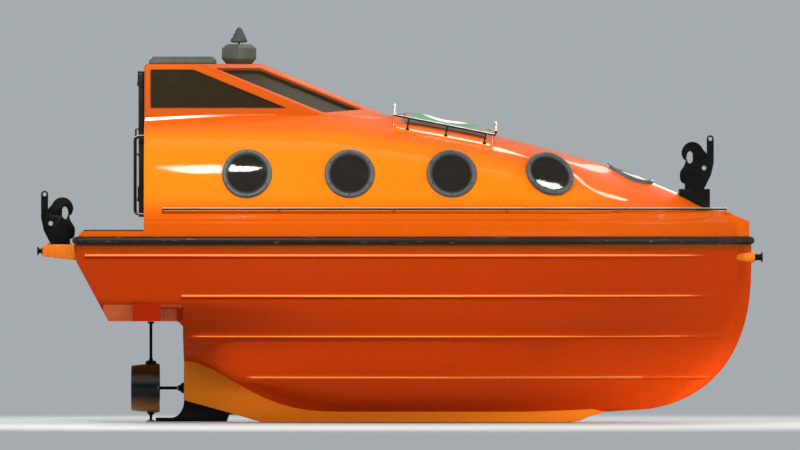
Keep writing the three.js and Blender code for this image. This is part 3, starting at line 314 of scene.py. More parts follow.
def moulded(name, slot, paint, gloss, grain_scale=520.0, sheen=0.14):
    """Grey-green plastic with a fine grain, paler where its edges are rubbed."""
    made = Finish(name, slot, Specular_IOR_Level=sheen)
    grain = made.grains(grain_scale)
    clouds = made.noise(9.0, 5.0).between(0.35, 0.7)
    rubbed = made.edges(0.515, 0.6) * made.noise(60.0, 3.0).between(0.35, 0.6)
    shade = made.mix(clouds * 0.6, colour(*(p * 0.8 for p in paint)), colour(*(p * 1.2 + 0.004 for p in paint)))
    shade = made.mix(rubbed * 0.3, shade, colour(*(p * 1.4 + 0.02 for p in paint)))
    made.feed(
        Base_Color=shade,
        Roughness=clouds * 0.12 - rubbed * 0.08 + gloss,
        Normal=made.bump(grain, 0.0007, 0.3),
    )
    return made


def tinted_glass(name, slot, paint, gloss, clear, **plain):
    made = Finish(name, slot, Alpha=clear, Coat_Roughness=0.01, IOR=1.5, **plain)
    smears = made.noise(7.0, 5.0, stretch=(1, 1, 2.4)).between(0.5, 0.8)
    dust = made.noise(260.0, 3.0).between(0.58, 0.75)
    made.feed(
        Base_Color=made.mix(smears * 0.2 + dust * 0.25, colour(*paint), colour(*(p * 1.8 + 0.012 for p in paint))),
        Roughness=smears * 0.015 + dust * 0.02 + gloss,
    )
    return made


def highlit_sealant(name, slot, own_tone, highlight_tone, from_x, to_x):
    """Bead of sealant in its own orange forward, painted pale towards the stern as a painted highlight along the joint.
    """
    made = Finish(name, slot, Specular_IOR_Level=0.3)
    along = made.axis("X") + (made.noise(6.0, 4.0) - 0.5) * 0.12
    dimples = made.noise(160.0, 3.0)
    grime = made.noise(30.0, 5.0).between(0.55, 0.8)
    shade = made.mix(along.between(from_x, to_x), colour(*highlight_tone), colour(*own_tone))
    made.feed(
        Base_Color=made.mix(grime * 0.2, shade, colour(0.35, 0.1, 0.05)),
        Roughness=dimples * 0.15 + grime * 0.1 + 0.3,
        Normal=made.bump(dimples, 0.0006, 0.3),
    )
    return made


# The pale aft end of the sealant is a painted highlight.
sealant = highlit_sealant("sealant", "canopy_gelcoat", (0.75, 0.06, 0.015), (0.95, 0.8, 0.72), -1.86, -1.3)
fender_rubber = rubber("fender_rubber", "fender_rubber", (0.0045, 0.0038, 0.0038), (0.02, 1, 1))
gasket_rubber = rubber("gasket_rubber", "fender_rubber", (0.012, 0.011, 0.011), (1, 1, 1))
ring_plastic = moulded("ring_plastic", "ring_grey", (0.05, 0.063, 0.064), 0.36)
hatch_plastic = moulded("hatch_plastic", "hatch_grey", (0.056, 0.065, 0.056), 0.5, 260.0, 0.1)
lamp_plastic = moulded("lamp_plastic", "lamp_grey", (0.036, 0.041, 0.04), 0.45, 520.0, 0.1)
pane_glass = tinted_glass("pane_glass", "dark_glass", (0.015, 0.011, 0.004), 0.2, 0.97, Specular_IOR_Level=0.05)
port_glass = tinted_glass("port_glass", "dark_glass", (0.012, 0.01, 0.0085), 0.03, 0.97, Specular_IOR_Level=0.03)
print("plastics and glass ready")

# %% [markdown]
# ## Metals
# The hooks, door and heel are painted black over steel, the rails are stainless tube, polished on the guard's hoops and
# dark with a painted highlight along the top elsewhere, the propeller is cast bronze, and the nozzle is gloss black
# with painted reflections. Paint chips on convex edges, so those finishes use how convex the surface is.

# %% Painted steel, stainless, bronze and the engine's iron
def painted_steel(name, slot, paint, gloss, chips=0.35, bare=(0.12, 0.11, 0.1), shine=0.5):
    made = Finish(name, slot, Specular_IOR_Level=shine)
    chipped = made.edges(0.53, 0.62) * made.noise(75.0, 4.0).between(0.45, 0.65)
    clouds = made.noise(12.0, 5.0).between(0.4, 0.75)
    pits = made.noise(330.0, 3.0)
    shade = made.mix(clouds * 0.55, colour(*paint), colour(*(p * 1.7 + 0.001 for p in paint)))
    shade = made.mix(chipped * chips, shade, colour(*bare))
    made.feed(
        Base_Color=shade,
        Metallic=chipped * chips,
        Roughness=clouds * 0.12 + pits * 0.06 + gloss,
        Normal=made.bump(pits - chipped * 0.6, 0.0008, 0.3),
    )
    return made


def top_highlit_tube(name, slot, dark, bare):
    """Tube that is dark all round, with a painted highlight along its top: bare is the paler, partly metallic colour
    where it faces up.
    """
    made = Finish(name, slot, Specular_IOR_Level=0.2)
    up = made.node("ShaderNodeSeparateXYZ", {}, {0: made.node("ShaderNodeNewGeometry", out="Normal")}, out="Z")
    lines = made.noise(900.0, 2.0, stretch=(0.05, 1, 1))
    stains = made.noise(14.0, 5.0).between(0.5, 0.8)
    # rubbed is the share of painted highlight, full where the tube faces up.
    rubbed = (up + lines * 0.2).between(0.42, 0.75) * (1.0 - stains * 0.35)
    made.feed(
        Base_Color=made.mix(rubbed, colour(*dark), colour(*bare)),
        Metallic=rubbed * 0.4,
        Roughness=lines * 0.12 + stains * 0.16 + 0.2,
        Normal=made.bump(lines, 0.0003, 0.25),
    )
    return made


def polished_tube(name, slot, tint, gloss):
    """Stainless tube with long drawn lines and a few tea stains."""
    made = Finish(name, slot)
    lines = made.noise(900.0, 2.0, stretch=(0.05, 1, 1))
    stains = made.noise(14.0, 5.0).between(0.5, 0.8)
    made.feed(
        Base_Color=made.mix(stains * 0.35, colour(*tint), colour(*(t * 0.62 for t in tint))),
        Metallic=0.8 - stains * 0.12,
        Roughness=lines * 0.12 + stains * 0.16 + gloss,
        Normal=made.bump(lines, 0.0003, 0.25),
    )
    return made


def nozzle_reflection_paint(name, slot, black, foot_reflection, top_reflection, middle, reach):
    """Gloss black with painted reflections: a brown towards the foot, a deeper brown at the top, and a grey band above
    the middle as a painted highlight.
    """
    made = Finish(name, slot, Specular_IOR_Level=0.15, Coat_Weight=0.06, Coat_Roughness=0.08)
    height = made.axis("Z") + (made.noise(5.0, 3.0) - 0.5) * 0.05
    pits = made.noise(330.0, 3.0)
    foot = 1.0 - height.between(middle - reach, middle - reach * 0.25)
    head = height.between(middle + reach * 0.25, middle + reach * 1.1)
    # worn is the grey band of painted highlight above the middle.
    worn = height.between(middle + reach * 0.1, middle + reach * 0.32) * (1.0 - height.between(
        middle + reach * 0.38, middle + reach * 0.62))
    shade = made.mix(foot, colour(*black), colour(*foot_reflection))
    shade = made.mix(head, shade, colour(*top_reflection))
    shade = made.mix(worn * 0.6, shade, colour(0.1, 0.1, 0.1))
    made.feed(
        Base_Color=made.mix(pits * 0.1, shade, colour(0.02, 0.016, 0.013)),
        Metallic=foot * 0.2,
        Roughness=pits * 0.08 + 0.2,
        Normal=made.bump(pits, 0.0005, 0.15),
    )
    return made


def cast_bronze(name, slot):
    made = Finish(name, slot)
    rough = made.noise(140.0, 4.0)
    green = made.noise(22.0, 5.0).between(0.55, 0.78)
    polish = made.edges(0.51, 0.6)
    shade = made.mix(polish, colour(0.34, 0.19, 0.07), colour(0.62, 0.4, 0.17))
    made.feed(
        Base_Color=made.mix(green * 0.35, shade, colour(0.11, 0.15, 0.1)),
        Metallic=1.0 - green * 0.4,
        Roughness=rough * 0.2 + green * 0.2 - polish * 0.12 + 0.28,
        Normal=made.bump(rough, 0.0012, 0.35),
    )
    return made


black_steel = painted_steel("black_steel", "black_steel", (0.001, 0.0012, 0.0014), 0.36, chips=0.06, shine=0.06)
door_paint = painted_steel("door_paint", "door_black", (0.004, 0.004, 0.0045), 0.34, chips=0.1, shine=0.12)
nozzle_paint = nozzle_reflection_paint(
    "nozzle_paint", "nozzle_paint", (0.001, 0.002, 0.004), (0.26, 0.1, 0.025), (0.08, 0.03, 0.006), -0.395, 0.184,
)
# Dark tube of the side rails, guard bars, handrails, door handle and nozzle bolts, with a painted highlight along its
# top.
stainless = top_highlit_tube("stainless", "stainless", (0.009, 0.007, 0.006), (0.5, 0.43, 0.36))
bright_tube = polished_tube("bright_tube", "stainless", (0.6, 0.5, 0.4), 0.34)
bronze = cast_bronze("bronze", "bronze")
engine_iron = painted_steel("engine_iron", "engine_iron", (0.05, 0.06, 0.07), 0.45, chips=0.6)
print("metals ready")

# %% [markdown]
# ## Tools for making meshes
# All measures below are millimetres, as on the boat's drawing, and turn into metres when a mesh is made. A mould is
# a set of patches, each a grid of points. Patches that share an edge are welded, and the welded edges can be
# rounded, as a real moulding's are. A subdivision surface could round them too, but it would pull the form in.

# %% Points to meshes
MM = 0.001
WELD = 0.00005


def grid_faces(rows, columns, start=0):
    faces = []
    for r in range(rows - 1):
        for c in range(columns - 1):
            a = start + r * columns + c
            faces.append((a, a + 1, a + columns + 1, a + columns))
    return faces


def welded(patches, weld=WELD):
    """One bmesh from patches of (rows of points in mm), with the patch number of each face kept."""
    bm = bmesh.new()
    number = bm.faces.layers.int.new("patch")
    for k, rows in enumerate(patches):
        columns = len(rows[0])
        verts = [bm.verts.new([v * MM for v in p]) for row in rows for p in row]
        for face in grid_faces(len(rows), columns) if len(rows) > 1 else [range(columns)]:
            bm.faces.new([verts[i] for i in face])[number] = k
    bmesh.ops.remove_doubles(bm, verts=bm.verts, dist=weld)
    bmesh.ops.dissolve_degenerate(bm, edges=bm.edges, dist=weld)
    bmesh.ops.recalc_face_normals(bm, faces=bm.faces)
    return bm


def soften(bm, degrees=32):
    """Smooth shading, but for edges that turn more than this."""
    limit = math.radians(degrees)
    for face in bm.faces:
        face.smooth = True
    for edge in bm.edges:
        edge.smooth = len(edge.link_faces) == 2 and edge.calc_face_angle(0.0) < limit


def to_object(bm, name, finish=None):
    mesh = bpy.data.meshes.new(name)
    bm.to_mesh(mesh)
    bm.free()
    made = bpy.data.objects.new(name, mesh)
    bpy.context.scene.collection.objects.link(made)
    if finish is not None:
        mesh.materials.append(finish.material)
    return made


def settle(made):
    """Applies a piece's modifiers."""
    graph = bpy.context.evaluated_depsgraph_get()
    mesh = bpy.data.meshes.new_from_object(made.evaluated_get(graph))
    made.modifiers.clear()
    made.data = mesh
    return made


def rounded(made, width, steps=2, weighted=False, degrees=35):
    bevel = made.modifiers.new("round", "BEVEL")
    bevel.width = width * MM
    bevel.segments = steps
    bevel.limit_method = "WEIGHT" if weighted else "ANGLE"
    bevel.angle_limit = math.radians(degrees)
    bevel.harden_normals = False
    return settle(made)


def cut(made, *cutters, how="DIFFERENCE"):
    """Cuts, joins or keeps what is common to made and the cutters, which are used up."""
    for cutter in cutters:
        step = made.modifiers.new("cut", "BOOLEAN")
        step.operation = how
        step.object = cutter
        step.solver = "EXACT"
    settle(made)
    for cutter in cutters:
        bpy.data.objects.remove(cutter)
    return made


def shade(made, degrees=32):
    bm = bmesh.new()
    bm.from_mesh(made.data)
    soften(bm, degrees)
    bm.to_mesh(made.data)
    bm.free()
    return made


def dressed(made, finish, body="boat", stands_for=()):
    """Gives a piece its finish and body, and hides the frame's nodes that it stands for."""
    if not made.data.materials:
        made.data.materials.append(finish.material)
    elif made.data.materials[0] is None:
        made.data.materials[0] = finish.material
    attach(made, body)
    if stands_for:
        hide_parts(*stands_for)
    return made


def joined(name, parts):
    """Several meshes as one object."""
    bm = bmesh.new()
    for part in parts:
        bm.from_mesh(part.data)
    made = to_object(bm, name)
    for material in parts[0].data.materials:
        made.data.materials.append(material)
    for part in parts:
        bpy.data.objects.remove(part)
    return made


# %% Curves, smooth values and rings
def through(rows):
    """A smooth value between rows of (place, value), level at its peaks."""
    slopes = []
    for i in range(len(rows)):
        if i in (0, len(rows) - 1):
            a, b = (rows[0], rows[1]) if i == 0 else (rows[-2], rows[-1])
            slopes.append((b[1] - a[1]) / (b[0] - a[0]))
            continue
        before = (rows[i][1] - rows[i - 1][1]) / (rows[i][0] - rows[i - 1][0])
        after = (rows[i + 1][1] - rows[i][1]) / (rows[i + 1][0] - rows[i][0])
        slopes.append(0 if before * after <= 0 else 2 * before * after / (before + after))

    def at(x):
        i = 0
        while i < len(rows) - 2 and x > rows[i + 1][0]:
            i += 1
        span = rows[i + 1][0] - rows[i][0]
        t = min(1, max(0, (x - rows[i][0]) / span))
        a, b, m, n = rows[i][1], rows[i + 1][1], slopes[i] * span, slopes[i + 1] * span
        return a + t * m + t * t * (3 * (b - a) - 2 * m - n) + t**3 * (2 * (a - b) + m + n)

    return at


def smoothstep(t):
    t = min(1, max(0, t))
    return t * t * (3 - 2 * t)


def spread(first, last, count):
    return [first + (last - first) * i / (count - 1) for i in range(count)]


def curved(points, count, closed=False):
    """Points spaced along a smooth line through the given ones."""
    n = len(points)
    out = []
    spans = n if closed else n - 1
    for k in range(count):
        u = spans * k / (count if closed else count - 1)
        i = min(int(u), spans - 1)
        t = u - i
        p = [points[(i + j) % n] if closed else points[min(n - 1, max(0, i + j))] for j in (-1, 0, 1, 2)]
        out.append(
            tuple(
                0.5 * (2 * b + (c - a) * t + (2 * a - 5 * b + 4 * c - d) * t**2 + (3 * b - a - 3 * c + d) * t**3)
                for a, b, c, d in zip(*p)
            )
        )
    return out


def eased(points, radius, steps=5):
    """A line or outline with its corners replaced by arcs. radius is one value, or one for each corner."""
    out = []
    n = len(points)
    for i in range(n):
        r = radius[i] if isinstance(radius, (list, tuple)) else radius
        here = Vector(points[i])
        to_last, to_next = Vector(points[i - 1]) - here, Vector(points[(i + 1) % n]) - here
        reach = min(r, to_last.length * 0.49, to_next.length * 0.49)
        a, b = here + to_last.normalized() * reach, here + to_next.normalized() * reach
        if reach < 0.05:
            out.append(tuple(here))
            continue
        for k in range(steps + 1):
            t = k / steps
            out.append(tuple(a * (1 - t) ** 2 + here * 2 * t * (1 - t) + b * t**2))
    return out


def frame_of(direction):
    """Two directions square to this one, and the one itself."""
    w = Vector(direction).normalized()
    u = Vector((0, 0, 1)).cross(w) if abs(w.z) < 0.9 else Vector((1, 0, 0)).cross(w)
    u.normalize()
    return u, w.cross(u), w


def turned(name, profile, place, direction, finish=None, sides=64, share=1.0, close=False):
    """A turned piece: profile of (radius, height) in mm, stood along a direction."""
    u, v, w = frame_of(direction)
    base = Vector(place)
    rows = []
    for radius, height in list(profile) + ([profile[0]] if close else []):
        ring = []
        for i in range(sides + 1):
            turn = 2 * math.pi * share * i / sides
            ring.append(base + u * (radius * math.cos(turn)) + v * (radius * math.sin(turn)) + w * height)
        rows.append(ring)
    bm = welded([rows])
    soften(bm)
    return to_object(bm, name, finish)


def tube(name, path, radius, finish=None, sides=14, closed=False):
    """A round tube along points in mm, with its ends closed. radius may be a list."""
    points = [Vector(p) for p in path]
    n = len(points)
    rows = []
    side = None
    for i, point in enumerate(points):
        ahead = points[(i + 1) % n] if closed or i + 1 < n else point
        behind = points[i - 1] if closed or i > 0 else point
        along = (ahead - behind).normalized()
        if side is None:
            side = frame_of(along)[0]
        side = (side - along * side.dot(along)).normalized()
        up = along.cross(side)
        r = radius[i] if isinstance(radius, list) else radius
        turns = [2 * math.pi * k / sides for k in range(sides + 1)]
        rows.append([point + side * (r * math.cos(t)) + up * (r * math.sin(t)) for t in turns])
    patches = [rows + [rows[0]]] if closed else [rows, [rows[0][:-1]], [rows[-1][:-1]]]
    bm = welded(patches)
    soften(bm, 50)
    return to_object(bm, name, finish)


def plate(name, outline, across, low, high, finish=None, edge=0.0, steps=2):
    """A flat piece cut to an outline of points in mm, as thick as low to high along across."""
    along = Vector(across)
    at = [[Vector(p) + along * d for p in outline] for d in (low, high)]
    sides = [[row + [row[0]] for row in at]]
    bm = welded(sides + [[at[0]], [at[1]]])
    soften(bm)
    made = to_object(bm, name, finish)
    if edge:
        rounded(made, edge, steps)
        shade(made)
    return made


def block(name, x, y, z, finish=None, edge=0.0, steps=2):
    """A box from its x, y and z ranges."""
    outline = [(x[0], y[0], z[0]), (x[1], y[0], z[0]), (x[1], y[1], z[0]), (x[0], y[1], z[0])]
    return plate(name, outline, (0, 0, 1), 0, z[1] - z[0], finish, edge, steps)


def both_sides(half):
    """A closed ring from a half of it, mirrored to port."""
    return list(half) + [(x, -y, z) for x, y, z in reversed(half)]


print("tools ready")

# %% [markdown]
# ## Studio
# The boat stands on its keel on a pale round floor, whose rim fades out, so that no horizon crosses the picture.
# Softboxes light it from all sides, because it is seen from all sides. A sun lamp would be quicker, but gloss needs
# something to mirror. The small bright ones give the crisp glints on the cabin, and the broad ones the even light.

# %% Grey surroundings and the floor
GROUND_Z = -0.6545
FLOOR_RADIUS = 8.0
FLOOR_FADE_FROM = 3.2
SKY_GREY = (0.42, 0.455, 0.475, 1.0)

world = bpy.data.worlds.new("studio")
world.use_nodes = True
world.node_tree.nodes["Background"].inputs["Color"].default_value = SKY_GREY
world.node_tree.nodes["Background"].inputs["Strength"].default_value = 0.9
bpy.context.scene.world = world
bpy.context.scene.view_settings.view_transform = "Standard"

floor_finish = Finish("floor", "none", Specular_IOR_Level=0.2)
away = floor_finish.node("ShaderNodeVectorMath", {"operation": "LENGTH"}, {0: floor_finish.place}, out="Value")
floor_grain = floor_finish.noise(160.0, 2.0)
floor_finish.feed(
    Base_Color=floor_finish.mix(floor_grain, colour(0.37, 0.39, 0.4), colour(0.42, 0.44, 0.45)),
    Roughness=floor_grain * 0.1 + 0.7,
    Alpha=1.0 - away.between(FLOOR_FADE_FROM, FLOOR_RADIUS - 0.3),
)
floor_bm = bmesh.new()
bmesh.ops.create_circle(floor_bm, cap_ends=True, radius=FLOOR_RADIUS, segments=96)
floor = bpy.data.objects.new("floor", bpy.data.meshes.new("floor"))
floor_bm.to_mesh(floor.data)
floor_bm.free()
floor.data.materials.append(floor_finish.material)
floor.location = (0, 0, GROUND_Z)
bpy.context.scene.collection.objects.link(floor)
print("floor at", GROUND_Z, "m")

# %% Softboxes: each is a band of light between two ends
WARM = (1.0, 0.95, 0.87)
PINK = (1.0, 0.93, 0.93)
COOL = (0.93, 0.97, 1.0)
SOFTBOXES = [
    # name, one end, other end, breadth, what it points at, watts, tint, outline
    ("glint aft", (-3.34, -6.6, 5.05), (-2.26, -6.6, 5.15), 0.46, (-1.6, -0.86, 1.2), 760, WARM, "ELLIPSE"),
    ("side", (-3.8, -4.9, 7.0), (2.6, -4.9, 7.0), 1.6, (0.2, -0.9, 1.0), 130, WARM, "RECTANGLE"),
    ("low", (0.8, -7.0, 0.0), (8.8, -7.0, 0.0), 1.2, (1.6, 0, -0.1), 265, WARM, "RECTANGLE"),
    ("overhead", (-3.4, 0.8, 7.6), (2.6, 0.8, 7.6), 3.4, (0, 0, 1), 25, PINK, "RECTANGLE"),
    ("roof line", (0.8, 2.9, 7.35), (2.2, 3.43, 6.78), 1.9, (0.5, -0.75, 1.4), 240, WARM, "RECTANGLE"),
    ("bow line", (5.5, 1.9, 6.2), (4.4, 3.5, 5.95), 0.27, (1.5, -0.6, 1.05), 30, WARM, "ELLIPSE"),
    ("glass line", (4.594, -2.4, 6.907), (5.05, -2.73, 6.6), 0.1, (1.0, -0.8, 1.15), 85, WARM, "RECTANGLE"),
    ("behind aft", (-4.9, 7.0, 4.6), (-3.1, 7.0, 4.6), 1.2, (-0.6, 0.8, 1.0), 300, COOL, "RECTANGLE"),
    ("behind fore", (2.4, 7.6, 3.3), (6.4, 7.6, 3.3), 3.2, (0.8, 0.8, 1.0), 220, WARM, "RECTANGLE"),
    ("stern", (-9.0, 1.8, 2.6), (-9.0, -0.8, 2.6), 1.6, (-1, 0, 0.8), 160, WARM, "RECTANGLE"),
    ("stem", (8.6, -4.6, 2.0), (8.6, -1.6, 2.0), 1.6, (1.6, 0, 0.4), 430, WARM, "RECTANGLE"),
]
for name, one, other, breadth, aim, watts, tint, outline in SOFTBOXES:
    one, other = Vector(one), Vector(other)
    middle = (one + other) / 2
    back = (middle - Vector(aim)).normalized()
    along = other - one
    along = (along - back * along.dot(back)).normalized()
    lamp_data = bpy.data.lights.new(name, "AREA")
    lamp_data.shape = outline
    lamp_data.size, lamp_data.size_y = (other - one).length, breadth
    lamp_data.energy = watts
    lamp_data.color = tint
    lamp = bpy.data.objects.new(name, lamp_data)
    turn = Matrix((along, back.cross(along), back)).transposed().to_4x4()
    lamp.matrix_world = Matrix.Translation(middle) @ turn
    bpy.context.scene.collection.objects.link(lamp)
print(len(SOFTBOXES), "softboxes")

# %% [markdown]
# ## Lines of the hull
# A boat is drawn by its half-breadths: how wide it is at each level, at stations from transom to stem. The table is
# the drawing's own. A smooth curve runs through its numbers both along and up, where the frame's model has flat
# strips, so the bilge turns round. A sculpted surface could look alike, but would drift from the measures.

# %% Half-breadths and the profile
TRANSOM_X = -2503
STEM_X = 2503
SHEER_Z = 705
BODY_BOTTOM_Z = -571
COUNTER_Z = 106
APERTURE_X = -1713
KNEE_X = -1753
FOREFOOT_X = 1443
STEM_STRAIGHT_Z = 560
STEM_POWER = 2.5
RUN_START_X = -475
RUN_RISE = 377
KNUCKLE_Z = 248
KNUCKLE_TOP = 591
KNUCKLE_FADE = (0.12, 0.26)
SHARES = [0, 0.08, 0.16, 0.35, 0.55, 0.72, 0.84, 0.91, 0.96, 0.982, 1]
BREADTHS = [
    # level, half-breadth at each share of the length
    (-571, [60, 60, 60, 60, 60, 60, 55, 45, 32, 26, 22]),
    (-315, [240, 330, 430, 690, 720, 560, 300, 150, 58, 28, 22]),
    (-10, [520, 580, 660, 925, 965, 820, 500, 265, 92, 30, 22]),
    (106, [690, 745, 800, 990, 1015, 880, 565, 305, 108, 31, 22]),
    (248, [820, 880, 935, 1040, 1055, 925, 620, 345, 125, 33, 22]),
    (591, [885, 950, 1008, 1097, 1114, 1018, 730, 445, 175, 38, 22]),
    (705, [900, 968, 1025, 1108, 1125, 1035, 755, 475, 195, 42, 22]),
]
breadth_lines = [(z, through(list(zip(SHARES, row)))) for z, row in BREADTHS]


def stem_at(z):
    down = min(1, max(0, STEM_STRAIGHT_Z - z) / (STEM_STRAIGHT_Z - BODY_BOTTOM_Z))
    return FOREFOOT_X + (STEM_X - FOREFOOT_X) * max(0, 1 - down**STEM_POWER) ** (1 / STEM_POWER)


def bottom_at(x):
    share = max(0, RUN_START_X - x) / (RUN_START_X - APERTURE_X)
    return BODY_BOTTOM_Z + RUN_RISE * smoothstep(share**1.6)


def half_at_share(share, z):
    """Smooth up the side, but with a knuckle over the counter, where the quarter turns in."""
    rows = [(level, line(share)) for level, line in breadth_lines]
    smooth = through(rows)(z)
    if not COUNTER_Z < z < KNUCKLE_TOP or share > KNUCKLE_FADE[1]:
        return smooth
    inward = rows[3][1] + (rows[4][1] - rows[3][1]) * (z - COUNTER_Z) / (KNUCKLE_Z - COUNTER_Z)
    sharp = min(inward, rows[4][1] + (rows[5][1] - rows[4][1]) * (z - KNUCKLE_Z) / (rows[5][0] - KNUCKLE_Z))
    return smooth + (sharp - smooth) * (1 - smoothstep((share - KNUCKLE_FADE[0]) / (KNUCKLE_FADE[1] - KNUCKLE_FADE[0])))


def half_breadth(x, z):
    return half_at_share((x - TRANSOM_X) / (stem_at(z) - TRANSOM_X), z)


print("half-breadth amidships at the sheer:", round(half_breadth(0, SHEER_Z)), "mm")

# %% [markdown]
# ## Hull moulding
# The hull is one glass-fibre moulding with four spray rails on each side. It is made as patches that meet where the
# real mould has corners: two sides, transom, counter, the wall of the propeller's aperture, bottom, stem and sheer.
# The rails are rows of points pushed out of the sides, so they are part of the skin and fade into it.

# %% A point of the side, with its rails
RAIL_OUT = 14
RAIL_FADE_X = (1900, 2380)
RAIL_TIP = 12
RAILS = [
    # level, where the rail starts aft
    (-315, -1240),
    (-10, -1650),
    (291, -1720),
    (591, -2440),
]
RAIL_SHAPE = [(-12, 0.0), (-10.5, 0.7), (-9, 0.95), (-7, 1.0), (-3, 1.0), (0, 0.9), (8, 0.18), (12, 0.0)]
LOW_RAIL = RAILS[0][0]
TUCK_START_X = -1250
TUCK_RISE = 231


def lifted(share, level):
    """The rising run aft carries the low levels up with it."""
    bottom = bottom_at(TRANSOM_X + share * (FOREFOOT_X - TRANSOM_X))
    x = TRANSOM_X + share * (stem_at(LOW_RAIL) - TRANSOM_X)
    lift = TUCK_RISE * smoothstep((TUCK_START_X - x) / (TUCK_START_X - APERTURE_X))
    rows = [(BODY_BOTTOM_Z, bottom - BODY_BOTTOM_Z), (LOW_RAIL, lift), (-299, lift * 0.96), (-160, lift * 0.45)]
    return level + (through(rows + [(-26, 0)])(level) if level < -26 else 0)


def side_point(share, level, out=0.0):
    x = TRANSOM_X + share * (stem_at(level) - TRANSOM_X)
    return (x, half_at_share(share, level) + out, lifted(share, level))


def rail_out(x, start):
    fade = 1 - smoothstep((x - RAIL_FADE_X[0]) / (RAIL_FADE_X[1] - RAIL_FADE_X[0]))
    return RAIL_OUT * fade * smoothstep((x - start) / RAIL_TIP + 0.5)


def side_levels(low, high, count):
    """Levels with the share of a rail at each: (level, share of the rail, where the rail starts)."""
    rows = [(z, 0.0, 0) for z in spread(low, high, count)]
    for level, start in RAILS:
        if low < level < high:
            rows = [r for r in rows if abs(r[0] - level) > 22]
            rows += [(level + up, share, start) for up, share in RAIL_SHAPE]
    return sorted(rows)


LOW_LEVELS = side_levels(BODY_BOTTOM_Z, COUNTER_Z, 36)
HIGH_LEVELS = side_levels(COUNTER_Z, SHEER_Z, 26)


def transom_at(z):
    return TRANSOM_X + 238 * max(0, (551 - z) / (551 - COUNTER_Z))


def aperture_at(z):
    return APERTURE_X + (KNEE_X - APERTURE_X) * min(1, max(0, (z - 72) / (COUNTER_Z - 72)))


def side_row(level, rail, start, xs_aft, ahead):
    """Points of one level: at these x aft of the knee, then at these shares of the way to the stem."""
    reach = stem_at(level) - TRANSOM_X
    first = (aperture_at(level) - TRANSOM_X) / reach
    shares = [(x - TRANSOM_X) / reach for x in xs_aft] + [first + f * (1 - first) for f in ahead]
    return [side_point(s, level, rail * rail_out(TRANSOM_X + s * reach, start)) for s in shares]


def with_tips(shares, low, high, rails):
    """More stations about the aft tips of these rails, so that the tips are short."""
    tips = []
    for level, start in rails:
        aft, fore = low(level), high(level)
        tips += [(start + step * RAIL_TIP - aft) / (fore - aft) for step in (-0.5, -0.2, 0.2, 0.5)]
    return sorted([s for s in shares if min(abs(s - t) for t in tips) > 0.004] + tips)


AHEAD = with_tips([1 - (1 - i / 104) ** 1.35 for i in range(105)], aperture_at, stem_at, RAILS[:3])
QUARTER_SHARES = with_tips(spread(0, 1, 16), transom_at, lambda z: KNEE_X, RAILS[3:])
QUARTER = len(QUARTER_SHARES)
low_rows = [side_row(*level, [], AHEAD) for level in LOW_LEVELS]
high_rows = []
for level in HIGH_LEVELS:
    first = transom_at(level[0])
    aft = [first + share * (KNEE_X - first) for share in QUARTER_SHARES[:-1]]
    high_rows.append(side_row(*level, aft, AHEAD))
print("levels:", len(LOW_LEVELS), "and", len(HIGH_LEVELS), "stations:", len(AHEAD) + QUARTER - 1)


# %% Patches of the hull, welded and rounded at its corners
def port_side(rows):
    return [[(x, -y, z) for x, y, z in row] for row in rows]


def across(points):
    """A strip from each point to its mirror image."""
    return [[(x, -y, z), (x, y, z)] for x, y, z in points]


NOSE_REACH = 14


def nose_row(point, steps=8):
    x, y, z = point
    turns = [math.pi / 2 - math.pi * k / steps for k in range(steps + 1)]
    return [(x + NOSE_REACH * math.cos(t), y * math.sin(t), z) for t in turns]


nose = [nose_row(row[-1]) for row in low_rows + high_rows[1:]]
hull_patches = [
    low_rows,
    port_side(low_rows),
    high_rows,
    port_side(high_rows),
    across([row[0] for row in high_rows]),
    across(high_rows[0][:QUARTER]),
    across([row[0] for row in low_rows]),
    across(low_rows[0]),
    across(high_rows[-1]),
    nose,
    [nose[0]],
    [nose[-1]],
]


def moulding(name, patches, finish, round_by, turn=28):
    """A closed mould from patches, whose sharp joints are rounded."""
    bm = welded(patches)
    number = bm.faces.layers.int["patch"]
    weight = bm.edges.layers.float.new("bevel_weight_edge")
    for edge in bm.edges:
        if len(edge.link_faces) == 2:
            a, b = edge.link_faces
            if a[number] != b[number] and edge.calc_face_angle(0) > math.radians(turn):
                edge[weight] = 1.0
    print(name, "open edges:", sum(1 for e in bm.edges if len(e.link_faces) != 2))
    made = to_object(bm, name, finish)
    return rounded(made, round_by, 3, weighted=True)


hull = moulding("hull_moulding", hull_patches, hull_gelcoat, 9)
hull_solid = hull.data.copy()
print("hull faces:", len(hull.data.polygons))

# %% [markdown]
# ## Inside of the hull
# The boat is hollow, so that an open door or hatch shows a room, not a solid. The room is a rough inner form that is
# cut from the moulding, and its walls take the plain inner gelcoat. A solidify modifier would give an even wall, but
# it folds over itself at the stem.

# %% The room of the hull
LINER = 1
WALL = 80
HULL_FLOOR_Z = -230
FLOOR_OVER_BOTTOM = 300
ROOM_LEVELS = [HULL_FLOOR_Z, -10, 106, 291, 591, SHEER_Z + 40]
HULL_ROOM_X = [-1540, -1300, -1000, -600, 0, 600, 1000, 1350, 1650, 1850, 1980]


def ring_loft(name, rings, index=0, finish=None):
    """A closed solid through rings, its ends flat."""
    bm = welded([[list(r) + [r[0]] for r in rings], [rings[0]], [rings[-1]]])
    for face in bm.faces:
        face.material_index = index
    soften(bm)
    return to_object(bm, name, finish)


def hull_room_ring(x):
    ground = max(HULL_FLOOR_Z, bottom_at(x) + FLOOR_OVER_BOTTOM)
    narrow = ground - HULL_FLOOR_Z
    half = []
    for z in ROOM_LEVELS:
        wide = half_breadth(x, min(z, SHEER_Z)) - WALL - (narrow if z < 0 else 0)
        half.append((x, max(25, wide), max(z, ground + (z - HULL_FLOOR_Z) * 0.2)))
    return both_sides(half)


hull.data.materials.append(liner_gelcoat.material)
cut(hull, ring_loft("room", [hull_room_ring(x) for x in HULL_ROOM_X], LINER))
shade(hull)
dressed(hull, hull_gelcoat, stands_for=["hull"])
print("hull with its room, faces:", len(hull.data.polygons))
